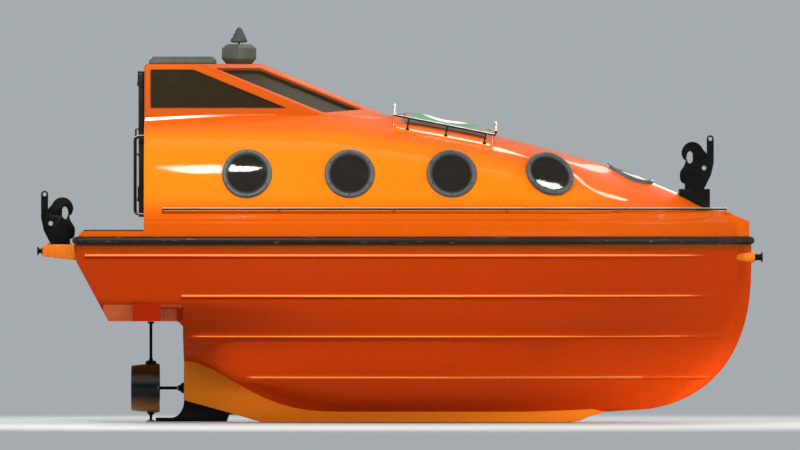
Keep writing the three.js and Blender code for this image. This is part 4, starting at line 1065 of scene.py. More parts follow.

# %% [markdown]
# ## Keel, heel and boxes under the counter
# A tall fin runs under the body and carries an iron heel aft, in which the nozzle's foot turns. The fin is cut from
# plate by its outline and trimmed to the hull, whose own skin is the cutter. The two boxes under the counter and the
# engine stay as the frame has them, with rounded edges and their own finish. The boxes, and a pipe beside each, are
# painted a dark red as painted shade under the counter.

# %% Fin and heel
KEEL_BOTTOM_Z = -651
NOZZLE_X = -1959
SHOE_Z = -646
FIN_SIDE = [
    (APERTURE_X, -150), (APERTURE_X, -486), (-1369, -581), (-1131, -650), (1157, KEEL_BOTTOM_Z), (1239, -638),
    (1318, -603), (1420, -575), (1300, -540), (-400, -540), (-1100, -380), (-1369, -250),
]
shoe_arc = []
for i in range(13):
    turn = i / 12 * math.pi / 2
    shoe_arc.append((-1808 + 96 * math.sin(turn), -616 + 129 * (1 - math.cos(turn))))
SHOE_SIDE = [
    (NOZZLE_X - 36, SHOE_Z), (-1394, SHOE_Z), (-1374, -593), (-1324, -600), (-1369, -581.3), (APERTURE_X, -486.3),
]
SHOE_SIDE += shoe_arc[::-1] + [(-1923, -616), (-1923, SHOE_Z + 7), (NOZZLE_X - 36, SHOE_Z + 7)]


def side_plate(name, outline, y0, y1, finish=None, edge=0.0, steps=2):
    """A plate standing fore and aft, from an outline of (x, z)."""
    return plate(name, [(x, 0, z) for x, z in outline], (0, 1, 0), y0, y1, finish, edge, steps)


def copy_of(mesh, name="copy", move=(0, 0, 0)):
    made = bpy.data.objects.new(name, mesh.copy())
    made.data.transform(Matrix.Translation([v * MM for v in move]))
    bpy.context.scene.collection.objects.link(made)
    return made


fin = side_plate("keel_fin_moulding", FIN_SIDE, -55, 55, keel_gelcoat, 9, 3)
cut(fin, copy_of(hull_solid, move=(0, 0, -0.3)))
shade(fin)
dressed(fin, keel_gelcoat, stands_for=["keel_fin"])
heel = side_plate("heel_casting", SHOE_SIDE, -32, 32, black_steel, 4, 2)
cut(heel, side_plate("fin_cut", [(x, z - 0.4) for x, z in FIN_SIDE], -100, 100))
shade(heel)
dressed(heel, black_steel, stands_for=["heel_shoe"])
print("fin and heel:", len(fin.data.polygons), len(heel.data.polygons))


# %% Nodes that keep their frame shape
def kept(name, finish, edge):
    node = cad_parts[name]
    node.data.materials.clear()
    node.data.materials.append(finish.material)
    bevel = node.modifiers.new("round", "BEVEL")
    bevel.width = edge * MM
    bevel.segments = 3
    return node


for name in ("counter_box_1", "counter_box_2"):
    kept(name, trunk_shade_gelcoat, 8)
BOX_FORE_X = -1876
PIPE_X = -1735
PIPE_Z = 208
# A pipe beside each box runs where the counter shows a dark line of shadow, and takes the boxes' painted shade.
for side_name, sign in (("stbd", -1), ("port", 1)):
    run = [(x, sign * (half_breadth(x, PIPE_Z) + 2), PIPE_Z) for x in spread(BOX_FORE_X - 6, PIPE_X, 7)]
    drop = [(PIPE_X, sign * (half_breadth(PIPE_X, z) + 2), z) for z in spread(PIPE_Z + 6, COUNTER_Z + 10, 9)]
    pipes = [tube("pipe", run, 10, trunk_shade_gelcoat, 14), tube("pipe", drop, 19, trunk_shade_gelcoat, 20)]
    dressed(joined("counter_pipe_" + side_name, pipes), trunk_shade_gelcoat)
kept("engine", engine_iron, 14)
print("kept: two boxes and the engine")

# %% [markdown]
# ## Upper moulding
# Cabin, gunwale band and stern deck are one glass-fibre moulding. Its sections change from a full arch aft to a ridge
# forward, and the whole is swept along the boat through them. A smooth curve through the drawing's few points gives
# the soft shoulder, and small curves are set between band and ledge and between ledge and side, as a mould has them.

# %% Sections of the arch
CABIN_AFT_X = -2001
ARCH_END_X = 2338
BAND_Z = 845
STERN_DECK_Z = 783
BAND_FOOT_Z = 705.3
ridge_at = through([
    (-2001, 1690), (-1300, 1706), (-700, 1702), (-300, 1654), (-160, 1638), (620, 1485), (1105, 1360), (1425, 1269),
    (1782, 1136), (2000, 1043), (2177, 957), (2338, 918),
])
arch_ledge_at = through([(-2001, 862), (1850, 862), (2080, 868), (2338, 912)])
arch_foot_at = through([
    (-2001, 930), (-1500, 985), (-751, 1045), (0, 1064), (700, 1030), (1101, 955), (1500, 795), (1800, 600),
    (2050, 370), (2200, 205), (2338, 12),
])
SECTION_FULL = [
    (1, 0), (0.975, 0.12), (0.885, 0.5), (0.81, 0.7), (0.73, 0.82), (0.6, 0.905), (0.4, 0.96), (0.2, 0.99), (0, 1),
]
SECTION_RIDGE = [
    (1, 0), (0.92, 0.14), (0.8, 0.31), (0.67, 0.47), (0.54, 0.61), (0.41, 0.73), (0.27, 0.845), (0.13, 0.945), (0, 1),
]
RIDGE_START_X = 950
RIDGE_LENGTH = 750
SECTION_STEPS = 49
smooth_full = curved(SECTION_FULL, SECTION_STEPS)
smooth_ridge = curved(SECTION_RIDGE, SECTION_STEPS)


def ledge_at(x):
    return arch_ledge_at(x) if x < ARCH_END_X else 912 - (x - ARCH_END_X) / (STEM_X - ARCH_END_X) * 80


def foot_at(x):
    return arch_foot_at(x) if x < ARCH_END_X else 11


def arch_half(x, inset=0.0, rows=(smooth_full, smooth_ridge)):
    """Half of the arch's section from its foot to its top line."""
    mix = smoothstep((x - RIDGE_START_X) / RIDGE_LENGTH)
    foot = max(10, foot_at(x) - inset)
    low = ledge_at(x)
    rise = max(3, ridge_at(x) - inset - low) * (1 - 0.8 * smoothstep((x - ARCH_END_X) / 60))
    return [
        (x, foot * (y0 * (1 - mix) + y1 * mix), low + rise * (h0 * (1 - mix) + h1 * mix))
        for (y0, h0), (y1, h1) in zip(*rows)
    ]


def side_at(x, z):
    """Breadth and lean of the cabin's side at a height, from the straight lines between the drawing's points."""
    half = arch_half(x, 0, (SECTION_FULL, SECTION_RIDGE))
    for a, b in zip(half, half[1:]):
        if z <= b[2]:
            t = max(0, (z - a[2]) / (b[2] - a[2]))
            return a[1] + (b[1] - a[1]) * t, math.atan2(a[1] - b[1], b[2] - a[2])
    return 0, math.pi / 2


def deck_at(x, y):
    """Height of the cabin's top at a breadth."""
    half = arch_half(x)
    for a, b in zip(half, half[1:]):
        if b[1] <= abs(y) <= a[1]:
            t = (a[1] - abs(y)) / max(1e-6, a[1] - b[1])
            return a[2] + (b[2] - a[2]) * t
    return half[-1][2] if abs(y) < 1 else ledge_at(x)


print("cabin's side at the windows:", [round(side_at(x, 1199)[0]) for x in (-1235, -475, 280, 1008)])


# %% A whole section: band, ledge and arch
def bend(a, corner, b, steps):
    """Points of a small curve from a to b that leans on the corner."""
    out = []
    for k in range(steps + 1):
        t = k / steps
        out.append(tuple(p * (1 - t) ** 2 + q * 2 * t * (1 - t) + r * t * t for p, q, r in zip(a, corner, b)))
    return out


ARCH_FROM = 2


def canopy_half(x):
    y = half_at_share((x - TRANSOM_X) / (STEM_X - TRANSOM_X), SHEER_Z)
    edge = BAND_Z - 17 * smoothstep((x - 2170) / 330)
    arch = arch_half(x)
    low = arch[0][2]
    inner = min(y - 12, arch[0][1])
    width = y - inner
    slope = (low - edge) / width
    r1, r2 = min(15, width * 0.36), min(30, width * 0.5)
    half = [(x, y, z) for z in (BAND_FOOT_Z, STERN_DECK_Z, edge - 30, edge - r1 - 4)]
    half += bend((x, y, edge - r1), (x, y, edge), (x, y - r1, edge + slope * r1), 4)
    half += bend((x, inner + r2, low - slope * r2), (x, inner, low), arch[ARCH_FROM], 6)
    return half + arch[ARCH_FROM + 1 :]


stations = spread(CABIN_AFT_X, 2150, 124) + spread(2180, ARCH_END_X, 9) + spread(2350, STEM_X, 9)
halves = [canopy_half(x) for x in stations]
stern_x = [TRANSOM_X, TRANSOM_X + 55] + spread(-2380, CABIN_AFT_X, 8)
stern_half = [half_at_share((x - TRANSOM_X) / (STEM_X - TRANSOM_X), SHEER_Z) for x in stern_x]
stern_top = [725] + [STERN_DECK_Z] * (len(stern_x) - 1)
stern_edge = list(zip(stern_x, stern_half, stern_top))
stern_side = [[(x, y, BAND_FOOT_Z), (x, y, z)] for x, y, z in stern_edge]
aft_wall = halves[0][1:] + [(x, -y, z) for x, y, z in halves[0][-2:0:-1]]
canopy_patches = [
    halves,
    port_side(halves),
    [halves[-1] + [(x, -y, z) for x, y, z in halves[-1][-2::-1]]],
    [aft_wall],
    across([half[0] for half in halves]),
    stern_side,
    port_side(stern_side),
    across(stern_edge),
    across([row[0] for row in stern_side]),
    [[(TRANSOM_X, y, z) for y, z in (
        (stern_half[0], BAND_FOOT_Z), (stern_half[0], 725), (-stern_half[0], 725), (-stern_half[0], BAND_FOOT_Z),
    )]],
]
canopy = moulding("canopy_moulding", canopy_patches, canopy_gelcoat, 11, turn=40)
canopy_solid = canopy.data.copy()
print("canopy faces:", len(canopy.data.polygons))

# %% [markdown]
# ## Steering house and its windows
# The house stands on the cabin's aft end, its front swept back in three facets. It is a loft between its plan at foot
# and roof, with rounded corners, trimmed to the cabin below. The window openings are cut through both, with small
# corner radii as a router leaves them, and the panes sit in them on rubber.

# %% Plan of the house
ROOF_Z = 2018
HOUSE_FOOT_Z = 1500
HOUSE_WALL = 50
HOUSE_HALF = 545
HOUSE_FRONT_HALF = 300
HOUSE_SIDE_CORNER_X = -1600
HOUSE_FRONT_CORNER_X = -1120
HOUSE_LEAN = 0.1
SCREEN_RUN = 2.4
CORNER_FALL = (HOUSE_HALF - HOUSE_FRONT_HALF) / (HOUSE_FRONT_CORNER_X - HOUSE_SIDE_CORNER_X)


def house_plan(z, wall=0.0):
    down = ROOF_Z - z
    side = HOUSE_HALF + down * HOUSE_LEAN - wall
    front = HOUSE_FRONT_HALF + down * HOUSE_LEAN - wall * 0.5
    run = SCREEN_RUN * down
    return both_sides([
        (CABIN_AFT_X + wall, side, z),
        (HOUSE_SIDE_CORNER_X + run - wall * 2, side, z),
        (HOUSE_FRONT_CORNER_X + run - wall * 2.6, front, z),
    ])


house = ring_loft("house_moulding", [house_plan(HOUSE_FOOT_Z), house_plan(ROOF_Z)], finish=house_gelcoat)
rounded(house, 14, 4, degrees=15)
print("house faces:", len(house.data.polygons))

# %% Window openings: outline, outward direction and how deep the pane sits
SIDE_WINDOW = [(-1957, 1687), (-939, 1687), (-1635, 1975), (-1957, 1975)]
CORNER_WINDOW = [(-1481, 1988), (-1139, 1988), (-380, 1680), (-666, 1655)]
SCREEN_Z = (1690, 1985)
SCREEN_EDGE = 60


def corner_y(x, z):
    down = ROOF_Z - z
    return HOUSE_HALF + down * HOUSE_LEAN - (x - HOUSE_SIDE_CORNER_X - SCREEN_RUN * down) * CORNER_FALL


panes = []
for side_name, sign in (("stbd", -1), ("port", 1)):
    face = [(x, sign * (HOUSE_HALF + (ROOF_Z - z) * HOUSE_LEAN), z) for x, z in SIDE_WINDOW]
    panes.append(("side_window_" + side_name, face, (0, sign, 0), 14))
    face = [(x, sign * corner_y(x, z), z) for x, z in CORNER_WINDOW]
    tilt = Vector((CORNER_FALL, sign, HOUSE_LEAN + SCREEN_RUN * CORNER_FALL)).normalized()
    panes.append(("corner_window_" + side_name, face, tuple(tilt), 26))
face = []
for s, z in ((1, SCREEN_Z[1]), (-1, SCREEN_Z[1]), (-1, SCREEN_Z[0]), (1, SCREEN_Z[0])):
    down = ROOF_Z - z
    wide = HOUSE_FRONT_HALF + down * HOUSE_LEAN - SCREEN_EDGE
    face.append((HOUSE_FRONT_CORNER_X + SCREEN_RUN * down, s * wide, z))
panes.append(("windscreen", face, tuple(Vector((1, 0, SCREEN_RUN)).normalized()), 20))
print([name for name, *_ in panes])

# %% [markdown]
# ## Round windows' places
# Each clamped window stands square to the cabin's side. Its direction comes from the side's lean and from how the
# breadth changes along the boat, both read from the sections. The moulding has a shallow recess for the ring and a
# hole for the pane, both turned by one stepped cutter.

# %% Round windows' places and cutters
PORT_Z = 1199
PORT_OUTER = 186
PORT_INNER = 148
PORT_RECESS = 8
PORTS_X = [-1235, -475, 280, 1008]
ports = []
for i, x in enumerate(PORTS_X):
    for side_name, sign in (("stbd", -1), ("port", 1)):
        y, lean = side_at(x, PORT_Z)
        ahead = side_at(x + 60, PORT_Z)[0] - side_at(x - 60, PORT_Z)[0]
        normal = Vector((-ahead / 120 * math.cos(lean), sign * math.cos(lean), math.sin(lean))).normalized()
        ports.append((f"{side_name}_{i + 1}", (x, sign * y, PORT_Z), tuple(normal)))

BOW_PORT_X = 1611
BOW_PORT_SIDES = 72


def bow_row(radius, up):
    """A ring of points over the ridge, all of them as high above the skin."""
    row = []
    for i in range(BOW_PORT_SIDES):
        turn = 2 * math.pi * i / BOW_PORT_SIDES
        x, y = BOW_PORT_X + radius * 0.94 * math.cos(turn), radius * math.sin(turn)
        row.append((x + up * 0.34, y, deck_at(x, y) + up * 0.94))
    return row


STEP_CUT = [(0, -150), (PORT_INNER, -150), (PORT_INNER, -PORT_RECESS), (186.3, -PORT_RECESS), (186.3, 120), (0, 120)]
port_cutters = joined("port_cutters", [turned("c", STEP_CUT, place, normal) for _, place, normal in ports])
print(len(ports), "round windows at", [round(p[1][1]) for p in ports])

# %% Rooms, ways and windows are cut from the moulding
SHELL_THICK = 70
ROOM_X = [CABIN_AFT_X + SHELL_THICK, -1500, -900, -500, -160, 300, 620, 900, 1105, 1425, 1700, 1850]
BAND_ROOM_X = [CABIN_AFT_X + SHELL_THICK, -900, 300, 1100, 1500, 1850]
rough_rows = (smooth_full[::3], smooth_ridge[::3])


def room_ring(x):
    half = arch_half(x, SHELL_THICK, rough_rows)
    return both_sides([(x, half[0][1], SHEER_Z - 60)] + half[:-1] + [(x, 3, half[-1][2])])


def band_room_ring(x):
    y = foot_at(x) - SHELL_THICK - 0.5
    return both_sides([(x, y, SHEER_Z - 59), (x, y, 892)])


def window_cut(pane, low, high):
    name, face, normal, _ = pane
    return plate(name, eased(face, 16, 4), normal, low, high)


cabin_room = cut(
    ring_loft("cabin_room", [room_ring(x) for x in ROOM_X], LINER),
    ring_loft("band_room", [band_room_ring(x) for x in BAND_ROOM_X], LINER),
    how="UNION",
)
house_room = ring_loft("house_room", [house_plan(HOUSE_FOOT_Z - 30, HOUSE_WALL), house_plan(1968, HOUSE_WALL)], LINER)
house_room_mesh = house_room.data.copy()
DOORWAY = dict(x=(CABIN_AFT_X - 50, CABIN_AFT_X + 120), y=(-215, 215), z=(915, 1930))
deck_way = block("deck_way", (10, 470), (-300, 300), (1300, 1800))
canopy.data.materials.append(liner_gelcoat.material)
cut(canopy, cabin_room, house_room, block("doorway", **DOORWAY), deck_way, port_cutters)
cut(canopy, joined("pane_cuts", [window_cut(pane, -160, 0) for pane in panes]))
cut(canopy, ring_loft("bow_cut", [bow_row(PORT_INNER + 0.3, -140), bow_row(PORT_INNER + 0.3, 120)]))
shade(canopy)
dressed(canopy, canopy_gelcoat, stands_for=["canopy"])
print("canopy cut, faces:", len(canopy.data.polygons))

# %% The house is trimmed to the cabin and its windows are cut
house.data.materials.append(liner_gelcoat.material)
cut(house, copy_of(house_room_mesh), copy_of(canopy_solid, move=(0, 0, 0.3)), block("doorway", **DOORWAY))
cut(house, block("roof_way", (-1909, -1532), (-230, 230), (ROOF_Z - 100, ROOF_Z + 100)))
cut(house, joined("pane_cuts", [window_cut(pane, -160, 60) for pane in panes]))
shade(house)
dressed(house, house_gelcoat, stands_for=["wheelhouse"])
print("house cut, faces:", len(house.data.polygons))


# %% Sealant along the foot of the house
FILLET_X = (CABIN_AFT_X + 6, -1020)


def house_foot(x):
    """Where the house's side meets the cabin."""
    steps = [(y, deck_at(x, y), ROOF_Z - (y - HOUSE_HALF) / HOUSE_LEAN) for y in range(HOUSE_HALF, 640)]
    return next((y, deck) for y, deck, wall in steps if wall <= deck)


# The bead runs along the house's foot and carries a painted highlight there, pale aft and fading to orange forward.
fillets = []
for sign in (-1, 1):
    rows = []
    for x in spread(*FILLET_X, 30):
        y, z = house_foot(x)
        reach = 17 - 10 * (x - FILLET_X[0]) / (FILLET_X[1] - FILLET_X[0])
        on_wall = (x, sign * (y - reach * HOUSE_LEAN + 0.5), z + reach)
        on_deck = (x, sign * (y + reach * 0.8), deck_at(x, y + reach * 0.8) + 0.5)
        middle = (x, sign * (y + reach * 0.2), z + reach * 0.2)
        rows.append([on_wall, middle, on_deck, (x, sign * (y - 4), z - 4)])
    rows = [row + [row[0]] for row in rows]
    bm = welded([rows, [rows[0][:-1]], [rows[-1][:-1]]])
    soften(bm, 60)
    fillets.append(to_object(bm, "fillet", sealant))
dressed(joined("house_foot_sealant", fillets), sealant)
print("sealant from", [round(v) for v in house_foot(FILLET_X[0])], "to", [round(v) for v in house_foot(FILLET_X[1])])


# %% Panes on their rubber
def drawn_in(outline, by):
    middle = sum((Vector(p) for p in outline), Vector()) / len(outline)
    return [tuple(Vector(p) + (middle - Vector(p)).normalized() * by) for p in outline]


GLASS = 10
for name, face, normal, recess in panes:
    pane = plate(name + "_pane", eased(drawn_in(face, 1.2), 16, 4), normal, -recess - GLASS, -recess, pane_glass, 1.5)
    dressed(shade(pane, 5), pane_glass, stands_for=[name])
    sunk = Vector(normal) * -(recess - 2)
    lip = [tuple(Vector(p) + sunk) for p in eased(drawn_in(face, 5), 14, 4)]
    dressed(tube(name + "_gasket", lip, 5.5, gasket_rubber, 8, closed=True), gasket_rubber)
print(len(panes), "panes with gaskets")

# %% [markdown]
# ## Clamped round windows
# A moulded ring clamps each round pane. Its rim is rounded, its inner edge falls in a bevel to the rubber that holds
# the glass, and six small screws hold it down. All of it is turned from profiles, as the real parts are; the lathe
# needs many steps, or the circle would show corners.

# %% Rings, rubbers and panes of the cabin's sides
PORT_PROFILE = [
    (PORT_INNER, -7.6), (PORT_OUTER, -7.6), (PORT_OUTER, 9), (185.2, 13), (183, 16.5), (180, 19.2), (176, 21),
    (171, 22), (164, 22), (160.5, 21), (157.5, 18.5), (152, 10.5), (149, 6), (PORT_INNER, 3),
]
RING_SCREWS = 6
SCREW_ROW = 168.5
screw_profile = [(0, 21), (5.4, 21), (5.4, 22.6), (4.6, 23.2), (1.6, 23.2), (1.4, 22.4), (0, 22.4)]


def ring_screws(name, place, normal):
    u, v, w = frame_of(normal)
    heads = []
    for k in range(RING_SCREWS):
        turn = 2 * math.pi * (k + 0.5) / RING_SCREWS
        spot = Vector(place) + (u * math.cos(turn) + v * math.sin(turn)) * SCREW_ROW
        heads.append(turned("head", screw_profile, spot, normal, black_steel, sides=12))
    return joined(name, heads)


PANE_BEND = 2050
PANE_RINGS = [(1, False), (147.2, False), (147.2, True), (98, True), (49, True), (1, True)]


def bent_pane(name, place, normal):
    """A round pane, bent upwards and downwards as the cabin's side is, so that both mirror alike."""
    u, v, w = frame_of(normal)
    rows = []
    for radius, outer in PANE_RINGS:
        row = []
        for k in range(72):
            turn = 2 * math.pi * k / 72
            a, b = radius * math.cos(turn), radius * math.sin(turn)
            up = 6 - b * b / (2 * PANE_BEND) if outer else -4
            row.append(Vector(place) + u * a + v * b + w * up)
        rows.append(row + [row[0]])
    bm = welded([rows, [rows[0][:-1]], [rows[-1][:-1]]])
    soften(bm)
    return to_object(bm, name, port_glass)


for name, place, normal in ports:
    ring = turned("port_ring_" + name, PORT_PROFILE, place, normal, ring_plastic, sides=96, close=True)
    dressed(ring, ring_plastic, stands_for=["porthole_ring_" + name])
    glass = bent_pane("port_pane_" + name, place, normal)
    dressed(glass, port_glass, stands_for=["porthole_glass_" + name])
    seal = [(147.4, 0.4), (148.6, 6.6), (146, 8.6), (142.5, 7.6), (141.2, 6), (141.2, 0.6), (147.4, 0.4)]
    dressed(turned("port_seal_" + name, seal, place, normal, gasket_rubber, sides=72), gasket_rubber)
    dressed(ring_screws("port_screws_" + name, place, normal), black_steel)
print(len(ports), "round windows")

# %% The round window of the foredeck, bent over the ridge
bow_rows = [bow_row(r, h) for r, h in [(PORT_INNER + 2, -6), (PORT_OUTER, -6)] + PORT_PROFILE[2:-1]]
bow_rows[-1] = bow_row(PORT_INNER + 2, 5)
rows = [row + [row[0]] for row in bow_rows]
bm = welded([rows + [rows[0]]])
soften(bm)
bow_ring = to_object(bm, "port_ring_bow", ring_plastic)
dressed(bow_ring, ring_plastic, stands_for=["porthole_ring_bow"])
bow_glass = [bow_row(r, h) for r, h in ((1, -8), (145, -8), (145, 3), (120, 4), (60, 4.4), (1, 4.5))]
rows = [row + [row[0]] for row in bow_glass]
bm = welded([rows, [bow_glass[0]], [bow_glass[-1]]])
soften(bm)
dressed(to_object(bm, "port_pane_bow", port_glass), port_glass, stands_for=["porthole_glass_bow"])
heads = []
for k in range(RING_SCREWS):
    x, y, z = bow_row(SCREW_ROW, 0)[k * BOW_PORT_SIDES // RING_SCREWS + BOW_PORT_SIDES // 12]
    heads.append(turned("head", screw_profile, (x, y, z), (0.34, 0, 0.94), black_steel, sides=12))
dressed(joined("port_screws_bow", heads), black_steel)
print("bow window:", len(bow_ring.data.polygons), "faces")

# %% [markdown]
# ## Fender
# A round rubber runs along the sheer, over the joint of the hull and the upper moulding. It is a tube whose back is
# flat against the boat. A curve with a bevel would need the same route; here the route is the sheer itself, taken
# from the half-breadths.

# %% Fender round the sheer
FENDER_Z = 705.5
FENDER_RADIUS = 29.5
sheer = [(TRANSOM_X, half_at_share(0, SHEER_Z))]
for share in [i / 110 for i in range(1, 106)] + spread(0.96, 0.999, 12):
    sheer.append((TRANSOM_X + share * (STEM_X - TRANSOM_X), half_at_share(share, SHEER_Z)))
tip = [(STEM_X + 9 * math.cos(t), 22 * math.sin(t)) for t in spread(math.pi / 2, -math.pi / 2, 9)]
plan = sheer + tip + [(x, -y) for x, y in reversed(sheer)]
corner_radii = [34 if i in (0, len(plan) - 1) else 0 for i in range(len(plan))]
plan = eased([(x, y, 0) for x, y in plan], corner_radii, 6)
rows = []
for i, point in enumerate(plan):
    along = (Vector(plan[(i + 1) % len(plan)]) - Vector(plan[i - 1])).normalized()
    out = Vector((-along.y, along.x, 0))
    row = [Vector(point) + out * (0.4 + 29.4 * math.cos(t)) + Vector((0, 0, FENDER_Z + FENDER_RADIUS * math.sin(t)))
           for t in spread(-math.pi / 2, math.pi / 2, 15)]
    rows.append(row + [row[0]])
bm = welded([rows + [rows[0]]])
soften(bm, 50)
fender = dressed(to_object(bm, "fender_rubber", fender_rubber), fender_rubber, stands_for=["fender"])
print("fender:", len(fender.data.polygons), "faces")

# %% A thin seal under the stern deck's edge
seal_line = []
for x in spread(TRANSOM_X + 58, CABIN_AFT_X - 4, 10):
    y = half_at_share((x - TRANSOM_X) / (STEM_X - TRANSOM_X), SHEER_Z)
    seal_line.append((x, y - 1.5, STERN_DECK_Z - 3))
for side_name, sign in (("stbd", -1), ("port", 1)):
    line = [(x, sign * y, z) for x, y, z in seal_line]
    dressed(tube("stern_deck_trim_" + side_name, line, 5, gasket_rubber, 8), gasket_rubber)
print("stern deck trims")

# %% [markdown]
# ## Aft door
# A steel leaf closes the doorway on a rubber seal. It has a rolled rim, a pressed panel under its window, two clips
# that hold it shut, a bent handle, and hinges on its port side. Everything that swings rides on the door's body; the
# frame stays on the boat.

# %% Frame, leaf and its window
LEAF_AFT_X = CABIN_AFT_X - 46
LEAF_X = CABIN_AFT_X - 12
DOOR_HALF = 250
DOOR_Z = (880, 1965)
PANE_HALF = 150
PANE_Z = (1480, 1860)


def aft_outline(half, low, high, x, radius):
    """A rounded rectangle that stands athwartships at x."""
    corners = [(x, -half, low), (x, half, low), (x, half, high), (x, -half, high)]
    return eased(corners, radius, 5)


def aft_plate(name, half, low, high, x0, x1, radius, finish=None, edge=0.0):
    return plate(name, aft_outline(half, low, high, x0, radius), (1, 0, 0), 0, x1 - x0, finish, edge)


door_frame = aft_plate("door_frame_bar", DOOR_HALF, *DOOR_Z, LEAF_X + 5, CABIN_AFT_X - 0.3, 26, black_steel)
cut(door_frame, aft_plate("hole", 215, 915, 1930, LEAF_X, CABIN_AFT_X + 5, 30))
dressed(shade(rounded(door_frame, 1.6, 2, degrees=50)), black_steel, stands_for=["door_frame"])

leaf = aft_plate("door_leaf_panel", DOOR_HALF, *DOOR_Z, LEAF_AFT_X + 3, LEAF_X, 26, door_paint)
rim = aft_plate("rim", DOOR_HALF, *DOOR_Z, LEAF_AFT_X, LEAF_AFT_X + 10, 26)
cut(rim, aft_plate("inner", DOOR_HALF - 22, DOOR_Z[0] + 22, DOOR_Z[1] - 22, LEAF_AFT_X - 5, LEAF_AFT_X + 20, 12))
lip = aft_plate("lip", PANE_HALF + 24, PANE_Z[0] - 24, PANE_Z[1] + 24, LEAF_AFT_X - 3, LEAF_AFT_X + 8, 30)
ribs = [block("rib", (LEAF_AFT_X, LEAF_AFT_X + 8), (-150, 150), (z, z + 26)) for z in (1010, 1130, 1250)]
cut(leaf, rim, lip, *ribs, how="UNION")
cut(leaf, aft_plate("pane_hole", PANE_HALF, *PANE_Z, LEAF_AFT_X - 10, LEAF_X + 10, 18))
dressed(shade(rounded(leaf, 1.8, 2, degrees=50)), door_paint, "door", ["door_leaf"])
door_pane = aft_plate("door_pane", PANE_HALF - 0.4, PANE_Z[0] + 0.4, PANE_Z[1] - 0.4, LEAF_AFT_X + 14, LEAF_AFT_X + 22,
                      18, pane_glass, 1)
dressed(door_pane, pane_glass, "door", ["door_window"])
lip_line = aft_outline(PANE_HALF - 3, PANE_Z[0] + 3, PANE_Z[1] - 3, LEAF_AFT_X + 13, 18)
dressed(tube("door_pane_gasket", lip_line, 4.5, gasket_rubber, 8, closed=True), gasket_rubber, "door")
seal_ring = aft_outline(228, 902, 1943, LEAF_X + 2.6, 28)
dressed(tube("door_seal", seal_ring, 2.3, gasket_rubber, 8, closed=True), gasket_rubber)
print("door leaf:", len(leaf.data.polygons), "faces")

# %% Handle, clips and hinges
HANDLE_Y = -205
HANDLE_X = LEAF_AFT_X - 22
HANDLE_Z = (1345, 1540)
handle_line = eased(
    [(LEAF_AFT_X + 3, HANDLE_Y, HANDLE_Z[0]), (HANDLE_X, HANDLE_Y, HANDLE_Z[0] + 3), (HANDLE_X, HANDLE_Y, HANDLE_Z[1] - 3),
     (LEAF_AFT_X + 3, HANDLE_Y, HANDLE_Z[1])],
    [0, 16, 16, 0],
)
feet = [turned("foot", [(0, 0), (15, 0), (15, 3), (12, 5), (0, 5)], (LEAF_AFT_X, HANDLE_Y, z), (-1, 0, 0))
        for z in HANDLE_Z]
dressed(joined("door_handle", [tube("bar", handle_line, 7, stainless, 14)] + feet), stainless, "door")
clips = []
for z in (1010, 1870):
    clips.append(turned("hub", [(0, 0), (17, 0), (17, 4), (13, 7), (13, 12), (0, 12)], (LEAF_AFT_X, -222, z), (-1, 0, 0)))
    clips.append(block("arm", (LEAF_AFT_X - 8, LEAF_AFT_X + 0.5), (-236, -208), (z - 12, z + 96), None, 3))
clips[0].data.materials.append(black_steel.material)
dressed(joined("door_clips", clips), black_steel, "door")
for k, z in enumerate((1050, 1422, 1800), 1):
    knuckle = turned("pin", [(0, -42), (6.5, -42), (7.5, -40), (7.5, 40), (6.5, 42), (0, 42)],
                     (LEAF_AFT_X, DOOR_HALF, z), (0, 0, 1), black_steel, sides=20)
    strap = block("strap", (LEAF_AFT_X - 3.5, LEAF_AFT_X + 0.5), (DOOR_HALF - 80, DOOR_HALF), (z - 20, z + 20), None, 1.5)
    dressed(joined(f"door_hinge_{k}", [knuckle, strap]), black_steel, "door")
print("handle, clips and three hinges")

# %% [markdown]
# ## Handrails beside the door
# Bent tubes with welded feet. The bends are drawn as arcs, since a bender leaves round corners.

# %% Two handrails
RAIL_AFT_X = CABIN_AFT_X - 76
for side_name, sign in (("stbd", -1), ("port", 1)):
    y = sign * 330
    wall = CABIN_AFT_X - 0.4
    bar = tube("bar", eased([(wall, y, 898), (RAIL_AFT_X, y, 900), (RAIL_AFT_X, y, 1481), (wall, y, 1483)], [0, 42, 42, 0], 8),
               8, stainless, 16)
    foot = [(0, 0), (24, 0), (24, 3), (20, 5.5), (10, 6.5), (8, 12), (0, 12)]
    feet = [turned("foot", foot, (wall, y, z), (-1, 0, 0), sides=28) for z in (898, 1483)]
    rail = dressed(joined("handrail_" + side_name, [bar] + feet), stainless, stands_for=["door_handrail_" + side_name])
print("handrail:", len(rail.data.polygons), "faces")

# %% [markdown]
# ## Roof hatch, reflector and lamp
# The roof hatch is a thick moulded lid with drawn-in edges. The radar reflector is a faceted box whose corners stand
# fore and aft, so a sharp edge faces each side. The lamp on it has a broad foot and a pointed lens.

# %% Roof hatch
HATCH_X = (-1969, -1472)
HATCH_HALF = 300
HATCH_Z = (2023, 2051, 2074)


def hatch_ring(inset, z):
    corners = [(HATCH_X[0] + inset, -HATCH_HALF + inset, z), (HATCH_X[1] - inset, -HATCH_HALF + inset, z),
               (HATCH_X[1] - inset, HATCH_HALF - inset, z), (HATCH_X[0] + inset, HATCH_HALF - inset, z)]
    return eased(corners, 34, 5)


